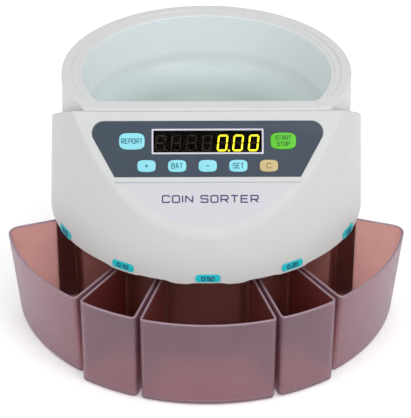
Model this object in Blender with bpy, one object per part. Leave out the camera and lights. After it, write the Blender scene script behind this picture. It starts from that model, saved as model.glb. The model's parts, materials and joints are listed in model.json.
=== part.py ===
"""Coin sorting machine: a hopper bowl feeds a spinning disc, which drops each coin size into its own cup.

Metres, +Z up. The machine faces -Y and stands on z = 0. The origin is the middle of its footprint.
Everything is laid out round the disc's vertical axis.
Angles are counted from the front, positive to the right.
"""

import math

import bmesh
import bpy

# Driving sizes of the whole machine
GAP = 0.0003            # space kept between pieces that touch
WALL = 0.0027           # wall of the moulded housings
COVER_R = 0.140         # upper cover, outside, at its bottom edge
COVER_BOTTOM = 0.0998
COVER_DRAFT = 0.046     # how much the cover's radius shrinks for each metre of height
SHOULDER_Z = 0.1468     # level top edge of the cover, at the back
CUP_RIM_R = 0.181       # cups, outside, at the rim
AXIS_Y = (CUP_RIM_R - COVER_R) / 2      # disc axis, which puts the footprint's middle on the origin
TURN_STEPS = 72         # facets round a large turned piece
SMALL_STEPS = 16        # facets round a small one

# Console: the flat sloping face of the cover, from its ridge down to its tip on the cover's side
RIDGE_Y, RIDGE_Z = -0.072, 0.2277
CONSOLE_SLOPE = math.radians(52)
BACK_SLOPE = math.radians(31)           # fall of the cover's top edge behind the ridge

# Hopper: a D-shaped tub with a bowl in it
HOPPER_R = 0.126        # outside, at the rim
HOPPER_DRAFT = 0.018
HOPPER_BOTTOM = 0.1438
HOPPER_WALL = 0.0025
RIM_Z = 0.2308
DECK_RIM_Z = 0.2296     # level band between the raised rim and the mouth
RAISED_RIM_R = 0.1195   # inner edge of the raised rim
MOUTH_R, MOUTH_Z = 0.1073, 0.2273
BOWL_FRONT_Y = -0.057   # flat front wall of the bowl, inside
BOWL_FLOOR_R, BOWL_FLOOR_Z = 0.104, 0.181
THROAT_R, THROAT_Z, THROAT_BOTTOM = 0.034, 0.148, 0.125
SHELF_Z = 0.1403        # underside of the shelf that carries the hopper
SHELF_R = 0.118

# Keypad and display, on the console: x, and distance down the slope from the ridge
PANEL_TOP, PANEL_FOOT = 0.0090, 0.0558
PANEL_TOP_HALF, PANEL_FOOT_HALF = 0.1032, 0.0776
PANEL_CORNER_R = 0.010
PANEL_PROUD = 0.0003
PANEL_THICK = 0.0013
WINDOW_DOWN = 0.0261
WINDOW_W, WINDOW_H = 0.0930, 0.0208
LENS_THICK = 0.0009
DIGITS_TOP, DIGITS_BOTTOM = -0.0013, -0.008     # block of digits, under the lens
BOARD_HALF_W, BOARD_UPPER, BOARD_LOWER = 0.078, -0.0165, -0.0545
BOARD_TOP, BOARD_BOTTOM = -0.0044, -0.0060
BIG_KEY = (0.0216, 0.0142)
SMALL_KEY = (0.0155, 0.0102)
BIG_KEY_X, BIG_KEY_DOWN = 0.0633, 0.0259
SMALL_KEY_PITCH, SMALL_KEY_DOWN = 0.02555, 0.0468
KEY_PROUD = 0.0016
KEY_EDGE = 0.0006       # height of the bevel round a key's face
KEY_FLANGE = 0.0012     # how far the flange under the panel stands out
KEY_FLANGE_TOP, KEY_BOTTOM = -0.0016, -0.0030
KEY_POWER = 3.4         # of the superellipse

# Cups: name, centre angle, half angle, corner radii (side nearer the front, other side) and draft
CUPS = (
    ("cup_front", 0.0, 18.7, 0.0035, 0.0035, 0.0006),
    ("cup_mid_right", 28.6, 8.8, 0.0045, 0.0045, 0.0006),
    ("cup_mid_left", -28.6, 8.8, 0.0045, 0.0045, 0.0006),
    ("cup_right", 60.05, 21.45, 0.005, 0.010, 0.0080),
    ("cup_left", -60.05, 21.45, 0.005, 0.010, 0.0080),
)
CUP_INNER_R = 0.118
CUP_WALL = 0.0022
CUP_BOTTOM = 0.001
CUP_TOP = 0.084         # rim height at the outer wall
CUP_RISE = 0.0073       # how much higher the rim is at the inner wall
CUP_SIDE_SHARE = 0.2    # draft of a side wall, as a share of the outer wall's
CUP_INNER_CORNER = 0.003
CUP_CHAMFER = 0.0012

# Value plates on the cover, over each cup: angle of each, and size
PLATE_ANGLES = {"front": 0.0, "mid_right": 31.0, "mid_left": -31.0, "right": 62.0, "left": -62.0}
PLATE_W, PLATE_H, PLATE_CORNER = 0.0212, 0.0072, 0.0028
PLATE_THICK = 0.0006
PLATE_MID_Z = 0.1041

# Base and sorting gear
DRUM_R = 0.1366
FRONT_DRUM_R = 0.1155   # the base is stepped in where the cups stand
STEP_ANGLE = 82.3
DRUM_WALL = 0.0025
DRUM_BOTTOM, DRUM_TOP = 0.0035, 0.1067
FLOOR_Z, FLOOR_THICK = 0.0045, 0.0025
FOOT_R, FOOT_CIRCLE, FOOT_ANGLES = 0.009, 0.100, (60, 130, 230, 300)
POST_CIRCLE, POST_ANGLES, POST_R = 0.104, (45, 180, 315), 0.005
BOSS_CIRCLE, BOSS_ANGLES = 0.127, (100, 150, 210, 260)
SCREW_R, SCREW_HEAD_R = 0.0015, 0.0032
SCREW_BOTTOM, SCREW_TOP, SCREW_HOLE_TOP = 0.0022, 0.020, 0.022
REAR_OPENING = ((-0.033, 0.12, 0.018), (0.033, 0.15, 0.074))    # window of the drum, behind the rear panel
DECK_R, DECK_BORE = 0.1364, 0.0113
DECK_Z, DECK_THICK = DRUM_TOP + GAP, 0.003
DISC_R = 0.0963
RIBS, RIB_START, RIB_END = 5, 0.045, 0.088      # drive ribs on the disc
HUB_R, HUB_HEIGHT = 0.024, 0.016
RAIL_R, RAIL_BORE = 0.121, DISC_R + 0.0007
RAIL_STEP, RAIL_HEIGHT, RAIL_WALL = 0.0028, 0.007, 0.0015
COIN_WIDTHS = (0.026, 0.024, 0.022, 0.020, 0.018)   # slots in the order of CUPS
CHUTE_HALF = 0.013
CHUTE_INNER_Y, CHUTE_OUTER_Y = -0.094, -0.128
CHUTE_INNER_DROP, CHUTE_OUTER_DROP = 0.0042, 0.0120     # underside, from the top of the drum
SHAFT_R = 0.004
BEARING_R, BEARING_FLANGE_R, BEARING_THICK = 0.011, 0.016, 0.003
PULLEY_Z = (0.087, 0.097)
PULLEY_LIP, PULLEY_RIM = 0.0015, 0.0025         # thickness of a flange, and its height over the groove
DRIVEN_R, DRIVER_R = 0.0275, 0.009      # bottoms of the belt grooves
BELT_THICK = 0.0018
MOTOR_Y, MOTOR_R, MOTOR_LENGTH = 0.070, 0.022, 0.0543
MOTOR_SHAFT_R = 0.003
BRACKET_HALF_W, BRACKET_HALF_D, BRACKET_WALL = 0.030, 0.020, 0.0025

# Electrics: the tall pieces are boxes given by their low and high corners
PIN_R, PIN_LENGTH, PIN_X = 0.0012, 0.010, 0.0043
BOARD_BOX = ((-0.055, -0.095, 0.014), (0.055, -0.035, 0.0156))
BOARD_PARTS = (
    ((-0.048, -0.088, 0.015), (-0.028, -0.072, 0.034)),
    ((-0.010, -0.070, 0.015), (0.020, -0.050, 0.020)),
    ((0.030, -0.090, 0.015), (0.046, -0.060, 0.028)),
    ((-0.050, -0.060, 0.0073), (-0.046, -0.056, 0.015)),
    ((0.046, -0.050, 0.0073), (0.050, -0.046, 0.015)),
)
TRANSFORMER_CORE = ((-0.081, 0.014, 0.0073), (-0.035, 0.046, 0.043))
TRANSFORMER_COIL = ((-0.073, 0.008, 0.012), (-0.043, 0.052, 0.038))
REAR_PANEL = ((-0.037, 0.1245, 0.014), (0.037, 0.1270, 0.078))
INLET_X, SWITCH_X, FITTINGS_Z = 0.014, -0.016, 0.046
ROCKER_TILT = math.radians(8)

WHITE = (0.62, 0.64, 0.64)
SLATE = (0.075, 0.085, 0.115)
MAUVE = (0.28, 0.14, 0.17)
BLACK = (0.02, 0.017, 0.018)
CYAN = (0.27, 0.75, 0.87)
TEAL = (0.0, 0.50, 0.52)
GREEN = (0.13, 0.60, 0.03)
SAND = (0.62, 0.52, 0.30)
STEEL = (0.55, 0.56, 0.58)
BOARD = (0.03, 0.20, 0.09)


def polar(angle, radius):
    """Point at this angle from the front, in radians."""
    return radius * math.sin(angle), -radius * math.cos(angle)


def cover_radius(z):
    """Outer radius of the cover at this height."""
    return COVER_R - COVER_DRAFT * (z - COVER_BOTTOM)


def hopper_radius(z):
    """Outer radius of the hopper's tub at this height."""
    return HOPPER_R + HOPPER_DRAFT * (RIM_Z - z)


def console_height(y, inset=0.0):
    """Height of the console's plane at y, or of the plane this far under it."""
    return RIDGE_Z - (RIDGE_Y - y) * math.tan(CONSOLE_SLOPE) - inset / math.cos(CONSOLE_SLOPE)


def material(name, colour, roughness=0.45, metallic=0.0):
    found = bpy.data.materials.get(name)
    if found:
        return found
    made = bpy.data.materials.new(name)
    made.use_nodes = True
    shader = made.node_tree.nodes["Principled BSDF"]
    shader.inputs["Base Color"].default_value = (*colour, 1)
    shader.inputs["Roughness"].default_value = roughness
    shader.inputs["Metallic"].default_value = metallic
    return made


# Mesh makers: each returns a bmesh of one closed body


def turned(profile, steps=TURN_STEPS):
    """Body turned about Z from a closed outline of (radius, height)."""
    bm = bmesh.new()
    verts = [bm.verts.new((radius, 0, height)) for radius, height in profile]
    pairs = zip(verts, verts[1:] + verts[:1])
    edges = [bm.edges.new(pair) for pair in pairs if pair[0].co.x or pair[1].co.x]
    bmesh.ops.spin(bm, geom=verts + edges, axis=(0, 0, 1), cent=(0, 0, 0), angle=math.tau, steps=steps)
    bmesh.ops.remove_doubles(bm, verts=bm.verts, dist=1e-6)
    return bm


def loft(loops):
    """Body through loops of equally many points, closed by the first loop and the last."""
    bm = bmesh.new()
    rows = [[bm.verts.new(point) for point in loop] for loop in loops]
    for low, high in zip(rows, rows[1:]):
        for i in range(len(low)):
            bm.faces.new((low[i - 1], low[i], high[i], high[i - 1]))
    bm.faces.new(reversed(rows[0]))
    bm.faces.new(rows[-1])
    return bm


def prism(outline, low, high):
    """Outline in X and Y, extruded in Z."""
    return loft([[(x, y, z) for x, y in outline] for z in (low, high)])


def post(radius, low, high, steps=SMALL_STEPS):
    """Round bar along Z."""
    return turned([(0, low), (radius, low), (radius, high), (0, high)], steps)


def slab(outline, half_width):
    """Outline in Y and Z, extruded both ways in X."""
    return loft([[(x, y, z) for y, z in outline] for x in (-half_width, half_width)])


def block(low, high):
    outline = [(low[0], low[1]), (high[0], low[1]), (high[0], high[1]), (low[0], high[1])]
    return prism(outline, low[2], high[2])


def ring(outer, inner, low, high):
    """Band between two outlines of equally many points."""
    bm = bmesh.new()
    levels = ((outer, low), (outer, high), (inner, high), (inner, low))
    rows = [[bm.verts.new((x, y, z)) for x, y in outline] for outline, z in levels]
    for row, following in zip(rows, rows[1:] + rows[:1]):
        for i in range(len(row)):
            bm.faces.new((row[i - 1], row[i], following[i], following[i - 1]))
    return bm


def sliced(bm, point, normal):
    """Removes what lies on the normal's side of a plane, and closes the cut."""
    cut = bmesh.ops.bisect_plane(
        bm, geom=bm.verts[:] + bm.edges[:] + bm.faces[:], dist=1e-7,
        plane_co=point, plane_no=normal, clear_outer=True)
    edges = [item for item in cut["geom_cut"] if isinstance(item, bmesh.types.BMEdge)]
    bmesh.ops.edgenet_fill(bm, edges=edges)
    return bm


def make(name, bm, stuff, parent, location=(0, 0, 0), rotation=(0, 0, 0)):
    """Object from a bmesh, placed in its parent's frame."""
    bmesh.ops.recalc_face_normals(bm, faces=bm.faces)
    mesh = bpy.data.meshes.new(name)
    bm.to_mesh(mesh)
    bm.free()
    mesh.shade_smooth()
    mesh.set_sharp_from_angle(angle=math.radians(30))
    mesh.materials.append(stuff)
    obj = bpy.data.objects.new(name, mesh)
    bpy.context.scene.collection.objects.link(obj)
    obj.parent = parent
    obj.location = location
    obj.rotation_euler = rotation
    return obj


def combine(obj, bm, operation, parent, location=(0, 0, 0), rotation=(0, 0, 0)):
    """Cuts obj by a hidden helper, or joins or intersects it with one."""
    helper = make(f"{obj.name}_helper", bm, obj.data.materials[0], parent, location, rotation)
    helper.hide_render = True
    helper.display_type = "WIRE"
    modifier = obj.modifiers.new(operation.lower(), "BOOLEAN")
    modifier.operation = operation
    modifier.solver = "EXACT"
    modifier.object = helper
    return helper


def empty(name, location, rotation=(0, 0, 0), parent=None):
    made = bpy.data.objects.new(name, None)
    bpy.context.scene.collection.objects.link(made)
    made.location = location
    made.rotation_euler = rotation
    made.parent = parent
    return made


# Housings


def make_cover(axis, console):
    """Tapered drum cut by the console and the back slope, hollow, with a D-shaped well for the hopper."""
    beyond = COVER_R + 0.01
    above = RIM_Z + 0.02
    low = COVER_BOTTOM - 0.002
    hollow_low = COVER_BOTTOM - 0.0098

    def section(inset, bottom):
        """Side view of the cover, moved in by inset."""
        console_drop = inset / math.cos(CONSOLE_SLOPE)
        back_drop = inset / math.cos(BACK_SLOPE)
        fall = math.tan(BACK_SLOPE)
        ridge_y = RIDGE_Y + (console_drop - back_drop) / (math.tan(CONSOLE_SLOPE) + fall)
        ridge_z = RIDGE_Z - back_drop - (ridge_y - RIDGE_Y) * fall
        shoulder_y = ridge_y + (ridge_z - SHOULDER_Z + inset) / fall
        shoulder_z = SHOULDER_Z - inset
        return [(-beyond, bottom), (beyond, bottom), (beyond, shoulder_z), (shoulder_y, shoulder_z),
                (ridge_y, ridge_z), (-beyond, console_height(-beyond, inset))]

    def cone(radius, bottom):
        """Solid inside this radius, which depends on height, up to well above the cover."""
        return turned([(0, bottom), (radius(bottom), bottom), (radius(above), above), (0, above)])

    drum = cone(cover_radius, low)
    cover = make("upper_cover", drum, material("cover_plastic", WHITE), axis)
    combine(cover, slab(section(0, COVER_BOTTOM), beyond), "INTERSECT", axis)

    hollow = cone(lambda z: cover_radius(z) - WALL, hollow_low)
    helper = combine(cover, hollow, "DIFFERENCE", axis)
    combine(helper, slab(section(WALL, COVER_BOTTOM - 0.01), beyond - 0.001), "INTERSECT", axis)
    jacket = cone(lambda z: hopper_radius(z) + GAP + WALL, SHELF_Z)
    combine(helper, sliced(jacket, (0, RIDGE_Y - WALL, 0), (0, -1, 0)), "DIFFERENCE", axis)

    seat = HOPPER_BOTTOM - GAP
    well = cone(lambda z: hopper_radius(z) + GAP, seat)
    combine(cover, sliced(well, (0, RIDGE_Y, 0), (0, -1, 0)), "DIFFERENCE", axis)
    opening = post(SHELF_R, SHELF_Z - 0.02, seat + 0.002, TURN_STEPS)
    combine(cover, sliced(opening, (0, RIDGE_Y + 0.006, 0), (0, -1, 0)), "DIFFERENCE", axis)
    combine(cover, prism(panel_outline(-GAP), -PANEL_THICK, 0.01), "DIFFERENCE", console)
    combine(cover, prism(panel_outline(0.0018), -0.01, 0.01), "DIFFERENCE", console)
    for angle in BOSS_ANGLES:
        boss = post(POST_R, DECK_Z + DECK_THICK + GAP, SHELF_Z + 0.001)
        combine(cover, boss, "UNION", axis, (*polar(math.radians(angle), BOSS_CIRCLE), 0))


def make_hopper(axis):
    """D-shaped tub with a stepped rim, and a bowl with a flat front wall that narrows to a throat."""
    wall = HOPPER_WALL
    front_y = RIDGE_Y + GAP
    above = RIM_Z + 0.01
    under_rim = DECK_RIM_Z - wall
    tub = turned([
        (0, HOPPER_BOTTOM), (hopper_radius(HOPPER_BOTTOM), HOPPER_BOTTOM), (HOPPER_R, RIM_Z - 0.0014),
        (HOPPER_R - 0.0012, RIM_Z), (RAISED_RIM_R, RIM_Z), (RAISED_RIM_R - 0.0004, DECK_RIM_Z),
        (0, DECK_RIM_Z),
    ])
    stuff = material("hopper_plastic", WHITE)
    hopper = make("hopper_bowl", sliced(tub, (0, front_y, 0), (0, -1, 0)), stuff, axis)
    below = HOPPER_BOTTOM - 0.01
    inside = turned([
        (0, below), (hopper_radius(below) - wall, below), (hopper_radius(under_rim) - wall, under_rim),
        (0, under_rim),
    ])
    combine(hopper, sliced(inside, (0, front_y + wall, 0), (0, -1, 0)), "DIFFERENCE", axis)
    bowl = turned([
        (0, THROAT_BOTTOM), (THROAT_R + wall, THROAT_BOTTOM), (THROAT_R + wall, THROAT_Z - 0.0015),
        (BOWL_FLOOR_R + wall, BOWL_FLOOR_Z - wall), (MOUTH_R + wall, under_rim + 0.001),
        (0, under_rim + 0.001),
    ])
    combine(hopper, sliced(bowl, (0, BOWL_FRONT_Y - wall, 0), (0, -1, 0)), "UNION", axis)
    space = turned([
        (0, THROAT_BOTTOM - 0.01), (THROAT_R, THROAT_BOTTOM - 0.01), (THROAT_R, THROAT_Z),
        (BOWL_FLOOR_R, BOWL_FLOOR_Z), (MOUTH_R, MOUTH_Z), (MOUTH_R + 0.002, DECK_RIM_Z),
        (MOUTH_R + 0.002, above), (0, above),
    ])
    combine(hopper, sliced(space, (0, BOWL_FRONT_Y, 0), (0, -1, 0)), "DIFFERENCE", axis)


def make_value_plates(axis):
    """Thin pill-shaped plates, curved round the cover's bottom edge."""
    half, corner = PLATE_W / 2, PLATE_CORNER
    turns = [math.pi / 2 * i / 3 for i in range(4)]
    straight_x, straight_h = half - corner, PLATE_H / 2 - corner
    ends = [(straight_x + corner * math.sin(t), straight_h + corner * math.cos(t)) for t in turns]
    middle = [(share * straight_x, PLATE_H / 2) for share in (-0.5, 0, 0.5)]
    columns = [(-x, h) for x, h in reversed(ends)] + middle + ends
    bottom, top = cover_radius(PLATE_MID_Z - PLATE_H / 2), cover_radius(PLATE_MID_Z + PLATE_H / 2)
    face = GAP + PLATE_THICK
    for label, angle in PLATE_ANGLES.items():
        loops = []
        for x, h in columns:
            loop = []
            for z, proud in ((-h, GAP), (-h, face), (h, face), (h, GAP)):
                radius = (bottom if z < 0 else top) + proud
                loop.append((*polar(x / COVER_R, radius), PLATE_MID_Z + z))
            loops.append(loop)
        make(f"value_plate_{label}", loft(loops), material("plate_plastic", TEAL, 0.35), axis,
             rotation=(0, 0, math.radians(angle)))


def base_outline(inset):
    """Round at the back, stepped in at the front where the cups stand, moved in by inset."""
    rear_r, front_r = DRUM_R - inset, FRONT_DRUM_R - inset
    step = math.radians(STEP_ANGLE)
    rear_start = step + math.asin(inset / rear_r)
    front_end = step + math.asin(inset / front_r)

    def arc(start, end, radius, steps):
        return [polar(start + (end - start) * i / steps, radius) for i in range(steps + 1)]

    return arc(rear_start, math.tau - rear_start, rear_r, 40) + arc(-front_end, front_end, front_r, 32)


def make_base(axis):
    """Stepped drum with a notch for each chute and a window at the back, its floor, feet and screws."""
    black = material("base_plastic", BLACK, 0.5)
    wall = ring(base_outline(0), base_outline(DRUM_WALL), DRUM_BOTTOM, DRUM_TOP)
    drum = make("base_drum", wall, black, axis)
    for _, angle, *_ in CUPS:
        half = CHUTE_HALF + 0.0005
        notch = block((-half, -FRONT_DRUM_R - 0.01, DRUM_TOP - 0.0105),
                      (half, -FRONT_DRUM_R + 0.01, DRUM_TOP + 0.01))
        combine(drum, notch, "DIFFERENCE", axis, rotation=(0, 0, math.radians(angle)))
    combine(drum, block(*REAR_OPENING), "DIFFERENCE", axis)

    top, under = FLOOR_Z + FLOOR_THICK, FLOOR_Z - GAP
    floor = make("base_floor", prism(base_outline(DRUM_WALL + GAP), FLOOR_Z, top), black, axis)
    rubber = material("rubber", (0.015, 0.015, 0.015), 0.8)
    for number, angle in enumerate(FOOT_ANGLES, 1):
        profile = [(0, 0), (FOOT_R - 0.001, 0), (FOOT_R, 0.001), (FOOT_R, under), (0, under)]
        foot = turned(profile, SMALL_STEPS)
        make(f"rubber_foot_{number}", foot, rubber, axis, (*polar(math.radians(angle), FOOT_CIRCLE), 0))
    steel = material("zinc_steel", STEEL, 0.35, 1.0)
    for number, angle in enumerate(POST_ANGLES, 1):
        place = (*polar(math.radians(angle), POST_CIRCLE), 0)
        combine(floor, post(POST_R, top - 0.001, DRUM_TOP), "UNION", axis, place)
        combine(floor, post(SCREW_R + GAP, 0, SCREW_HOLE_TOP), "DIFFERENCE", axis, place)
        screw = turned([(0, SCREW_BOTTOM), (SCREW_HEAD_R, SCREW_BOTTOM), (SCREW_HEAD_R, under),
                        (SCREW_R, under), (SCREW_R, SCREW_TOP), (0, SCREW_TOP)], SMALL_STEPS)
        make(f"base_screw_{number}", screw, steel, axis, place)


# Cups


def cup_outline(half, inner_r, outer_r, inset, front_corner, back_corner, mirrored):
    """Ring sector with rounded corners: the sides run along its radii, moved in by inset."""
    low_corner, high_corner = (back_corner, front_corner) if mirrored else (front_corner, back_corner)
    corner_in = CUP_INNER_CORNER
    points = []

    def corner(side, centre_r, radius, start, end):
        offset = half - math.asin((inset + radius) / centre_r)
        x, y = polar(side * offset, centre_r)
        for i in range(4):
            turn = start + (end - start) * i / 3
            points.append((x + radius * math.cos(turn), y + radius * math.sin(turn)))
        return offset

    def arc(start, end, radius):
        steps = round(2 * half / math.radians(5))
        points.extend(polar(start + (end - start) * i / steps, radius) for i in range(1, steps))

    quarter = math.pi / 2
    high = corner(1, outer_r - high_corner, high_corner, half - quarter, half)
    inner = corner(1, inner_r + corner_in, corner_in, half, half + quarter)
    arc(inner, -inner, inner_r)
    corner(-1, inner_r + corner_in, corner_in, quarter - half, math.pi - half)
    low = corner(-1, outer_r - low_corner, low_corner, math.pi - half, 3 * quarter - half)
    arc(-low, high, outer_r)
    return points


def make_cup(name, centre, half, front_corner, back_corner, draft, axis):
    """Open cup with drafted walls and a rim that rises towards the drum."""
    height = CUP_TOP - CUP_BOTTOM

    def level(inset, z, chamfer=0.0):
        low = 1 - (z - CUP_BOTTOM) / height
        shift = inset + chamfer
        outer = CUP_RIM_R - draft * low - shift
        corners = [max(r - inset, 0.0015) for r in (front_corner, back_corner)]
        outline = cup_outline(math.radians(half), CUP_INNER_R + shift, outer,
                              shift + CUP_SIDE_SHARE * draft * low, *corners, centre < 0)
        return [(x, y, z) for x, y in outline]

    def rim(inset):
        span = CUP_RIM_R - CUP_INNER_R
        flat = level(inset, CUP_TOP)
        return [(x, y, z + CUP_RISE * (CUP_RIM_R - math.hypot(x, y)) / span) for x, y, z in flat]

    floor = CUP_BOTTOM + CUP_WALL
    body = loft([
        level(0, CUP_BOTTOM, CUP_CHAMFER), level(0, CUP_BOTTOM + CUP_CHAMFER), rim(0), rim(CUP_WALL),
        level(CUP_WALL, floor + CUP_CHAMFER), level(CUP_WALL, floor, CUP_CHAMFER),
    ])
    make(name, body, material("cup_plastic", MAUVE, 0.4), axis, rotation=(0, 0, math.radians(centre)))


# Console


def panel_outline(inset):
    """Trapezium with rounded upper corners, in the console's frame, moved in by inset."""
    lean = math.atan2(PANEL_TOP_HALF - PANEL_FOOT_HALF, PANEL_FOOT - PANEL_TOP)
    foot, top = -PANEL_FOOT + inset, -PANEL_TOP - inset
    radius = PANEL_CORNER_R
    side = inset / math.cos(lean)
    foot_x = PANEL_FOOT_HALF - side + inset * math.tan(lean)
    centre_y = top - radius
    reach = PANEL_FOOT_HALF - side + (centre_y + PANEL_FOOT) * math.tan(lean)
    centre_x = reach - radius / math.cos(lean)
    steps = 6
    turns = [-lean + (math.pi / 2 + lean) * i / steps for i in range(steps + 1)]
    right = [(centre_x + radius * math.cos(t), centre_y + radius * math.sin(t)) for t in turns]
    return [(foot_x, foot), *right, *[(-x, y) for x, y in reversed(right)], (-foot_x, foot)]


def key_outline(size, grow=0.0):
    """Barrel-sided key: a superellipse."""
    steps = 20
    points = []
    for i in range(steps):
        turn = math.tau * (i + 0.5) / steps
        c, s = math.cos(turn), math.sin(turn)
        points.append((
            (size[0] / 2 + grow) * math.copysign(abs(c) ** (2 / KEY_POWER), c),
            (size[1] / 2 + grow) * math.copysign(abs(s) ** (2 / KEY_POWER), s),
        ))
    return points


def key_places():
    """Name, size, place on the console and colour of each key."""
    small = ("key_plus", "key_batch", "key_minus", "key_set", "key_clear")
    places = [("key_report", BIG_KEY, -BIG_KEY_X, BIG_KEY_DOWN, CYAN),
              ("key_start_stop", BIG_KEY, BIG_KEY_X, BIG_KEY_DOWN, GREEN)]
    for i, name in enumerate(small):
        colour = SAND if name == "key_clear" else CYAN
        places.append((name, SMALL_KEY, (i - 2) * SMALL_KEY_PITCH, SMALL_KEY_DOWN, colour))
    return places


def make_key(name, size, x, down, colour, console):
    """Domed cap whose flange sits under the panel. Its origin is on the face, on its line of travel."""
    levels = ((KEY_FLANGE, KEY_BOTTOM), (KEY_FLANGE, KEY_FLANGE_TOP), (0, KEY_FLANGE_TOP),
              (0, KEY_PROUD - KEY_EDGE), (-0.0007, KEY_PROUD))
    body = loft([[(px, py, z) for px, py in key_outline(size, grow)] for grow, z in levels])
    stuff = material(f"{name}_rubber", colour, 0.4)
    make(name, body, stuff, console, (x, -down, 0))


def make_console(console):
    """Printed panel with the keys, the display's lens and digits, and the board behind them."""
    panel = make("keypad_panel", prism(panel_outline(0), PANEL_PROUD - PANEL_THICK, PANEL_PROUD),
                 material("panel_film", SLATE, 0.4), console)
    for name, size, x, down, colour in key_places():
        make_key(name, size, x, down, colour, console)
        hole = prism(key_outline(size, GAP), -0.01, 0.01)
        combine(panel, hole, "DIFFERENCE", console, (x, -down, 0))

    def window(grow, low, high):
        return block((-WINDOW_W / 2 - grow, -WINDOW_DOWN - WINDOW_H / 2 - grow, low),
                     (WINDOW_W / 2 + grow, -WINDOW_DOWN + WINDOW_H / 2 + grow, high))

    combine(panel, window(0, -0.01, 0.01), "DIFFERENCE", console)
    lens, digits = window(-GAP, -LENS_THICK, 0), window(-0.002, DIGITS_BOTTOM, DIGITS_TOP)
    make("display_lens", lens, material("smoked_lens", (0.004, 0.003, 0.003), 0.1), console)
    make("led_digits", digits, material("led_block", (0.01, 0.01, 0.01), 0.5), console)
    board = make("keypad_board", block((-BOARD_HALF_W, BOARD_LOWER, BOARD_BOTTOM),
                                       (BOARD_HALF_W, BOARD_UPPER, BOARD_TOP)),
                 material("circuit_board", BOARD, 0.5), console)
    combine(board, window(-0.0015, -0.01, 0.01), "DIFFERENCE", console)


# Sorting gear


def make_deck(axis):
    """Deck, rail with a slot for each coin, chutes and coin sensors."""
    top = DECK_Z + DECK_THICK
    grey = material("deck_plastic", (0.10, 0.10, 0.11), 0.5)
    plate = turned([(DECK_BORE, DECK_Z), (DECK_R, DECK_Z), (DECK_R, top), (DECK_BORE, top)])
    deck = make("sorting_deck", plate, grey, axis)
    rail = make("sorting_rail", turned([
        (RAIL_BORE, top + GAP), (RAIL_R, top + GAP), (RAIL_R, top + RAIL_HEIGHT),
        (RAIL_R - RAIL_WALL, top + RAIL_HEIGHT), (RAIL_R - RAIL_WALL, top + RAIL_STEP),
        (RAIL_BORE, top + RAIL_STEP),
    ]), material("rail_steel", STEEL, 0.3, 1.0), axis)
    for (name, angle, *_), width in zip(CUPS, COIN_WIDTHS):
        turn = (0, 0, math.radians(angle))
        label = name.replace("cup_", "")
        low, high = -RAIL_R + 0.003, -DISC_R - 0.003
        slot = block((-width / 2, low, DECK_Z - 0.01), (width / 2, high, top + 0.001))
        combine(deck, slot, "DIFFERENCE", axis, rotation=turn)
        gate = block((-width / 2 + 0.001, low, top), (width / 2 - 0.001, high, top + 0.01))
        combine(rail, gate, "DIFFERENCE", axis, rotation=turn)
        make_chute(f"coin_chute_{label}", axis, turn)
        sensor = block((-0.005, -0.131, top + GAP), (0.005, -0.123, top + 0.009))
        make(f"coin_sensor_{label}", sensor, material("sensor_plastic", BLACK, 0.5), axis, rotation=turn)


def make_chute(name, axis, turn):
    """Channel that slopes out from under the deck, through the drum's notch, over the cup's inner wall."""
    inner_y, outer_y, top = CHUTE_INNER_Y, CHUTE_OUTER_Y, DRUM_TOP
    inner_z, outer_z = top - CHUTE_INNER_DROP, top - CHUTE_OUTER_DROP
    body = slab([(outer_y, outer_z), (inner_y, inner_z), (inner_y, top), (outer_y, top)], CHUTE_HALF)
    chute = make(name, body, material("chute_plastic", (0.08, 0.08, 0.085), 0.5), axis, rotation=turn)
    past, floor, side = 0.01, 0.0014, 0.0015
    fall = (inner_z - outer_z) / (inner_y - outer_y) * past
    channel = slab([(outer_y - past, outer_z - fall + floor), (inner_y + past, inner_z + fall + floor),
                    (inner_y + past, top + past), (outer_y - past, top + past)], CHUTE_HALF - side)
    combine(chute, channel, "DIFFERENCE", axis, rotation=turn)


def make_rotor(axis):
    """Disc with drive ribs, its hub, shaft, bearing and pulley."""
    low = DECK_Z + DECK_THICK + 0.0006
    high = low + 0.0024
    steel = material("bright_steel", STEEL, 0.25, 1.0)
    bore = SHAFT_R + GAP
    disc = make("sorting_disc", turned([(bore, low), (DISC_R, low), (DISC_R, high), (bore, high)]),
                material("disc_plastic", (0.05, 0.05, 0.055), 0.4), axis)
    for i in range(RIBS):
        rib = block((-0.0015, -RIB_END, high - 0.001), (0.0015, -RIB_START, high + 0.0012))
        combine(disc, rib, "UNION", axis, rotation=(0, 0, math.tau * i / RIBS))
    turns = [math.radians(angle) for angle in range(0, 90, 15)]
    dome = [(HUB_R * math.cos(t), high + GAP + HUB_HEIGHT * math.sin(t)) for t in turns]
    make("hub_cone", turned([*dome, (0, high + GAP + HUB_HEIGHT), (0, high + GAP)], 48),
         material("hub_rubber", (0.03, 0.03, 0.03), 0.7), axis)
    make("spindle_shaft", post(SHAFT_R, PULLEY_Z[0] - 0.006, high), steel, axis)
    under = DECK_Z - GAP
    flange, foot = under - BEARING_THICK, under - 2 * BEARING_THICK
    make("spindle_bearing", turned([
        (bore, foot), (BEARING_R, foot), (BEARING_R, flange), (BEARING_FLANGE_R, flange),
        (BEARING_FLANGE_R, under), (BEARING_R, under), (BEARING_R, low - GAP), (bore, low - GAP),
    ], SMALL_STEPS), material("bronze", (0.45, 0.28, 0.10), 0.35, 1.0), axis)
    make_pulley("driven_pulley", DRIVEN_R, bore, axis, (0, 0, 0))


def make_pulley(name, groove_r, bore, parent, location):
    """Belt pulley: a groove between two flanges."""
    low, high = PULLEY_Z
    lip, rim = PULLEY_LIP, groove_r + PULLEY_RIM
    body = turned([
        (bore, low), (rim, low), (rim, low + lip), (groove_r, low + lip),
        (groove_r, high - lip), (rim, high - lip), (rim, high), (bore, high),
    ], 48)
    make(name, body, material("pulley_plastic", (0.55, 0.54, 0.50), 0.4), parent, location)


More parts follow.
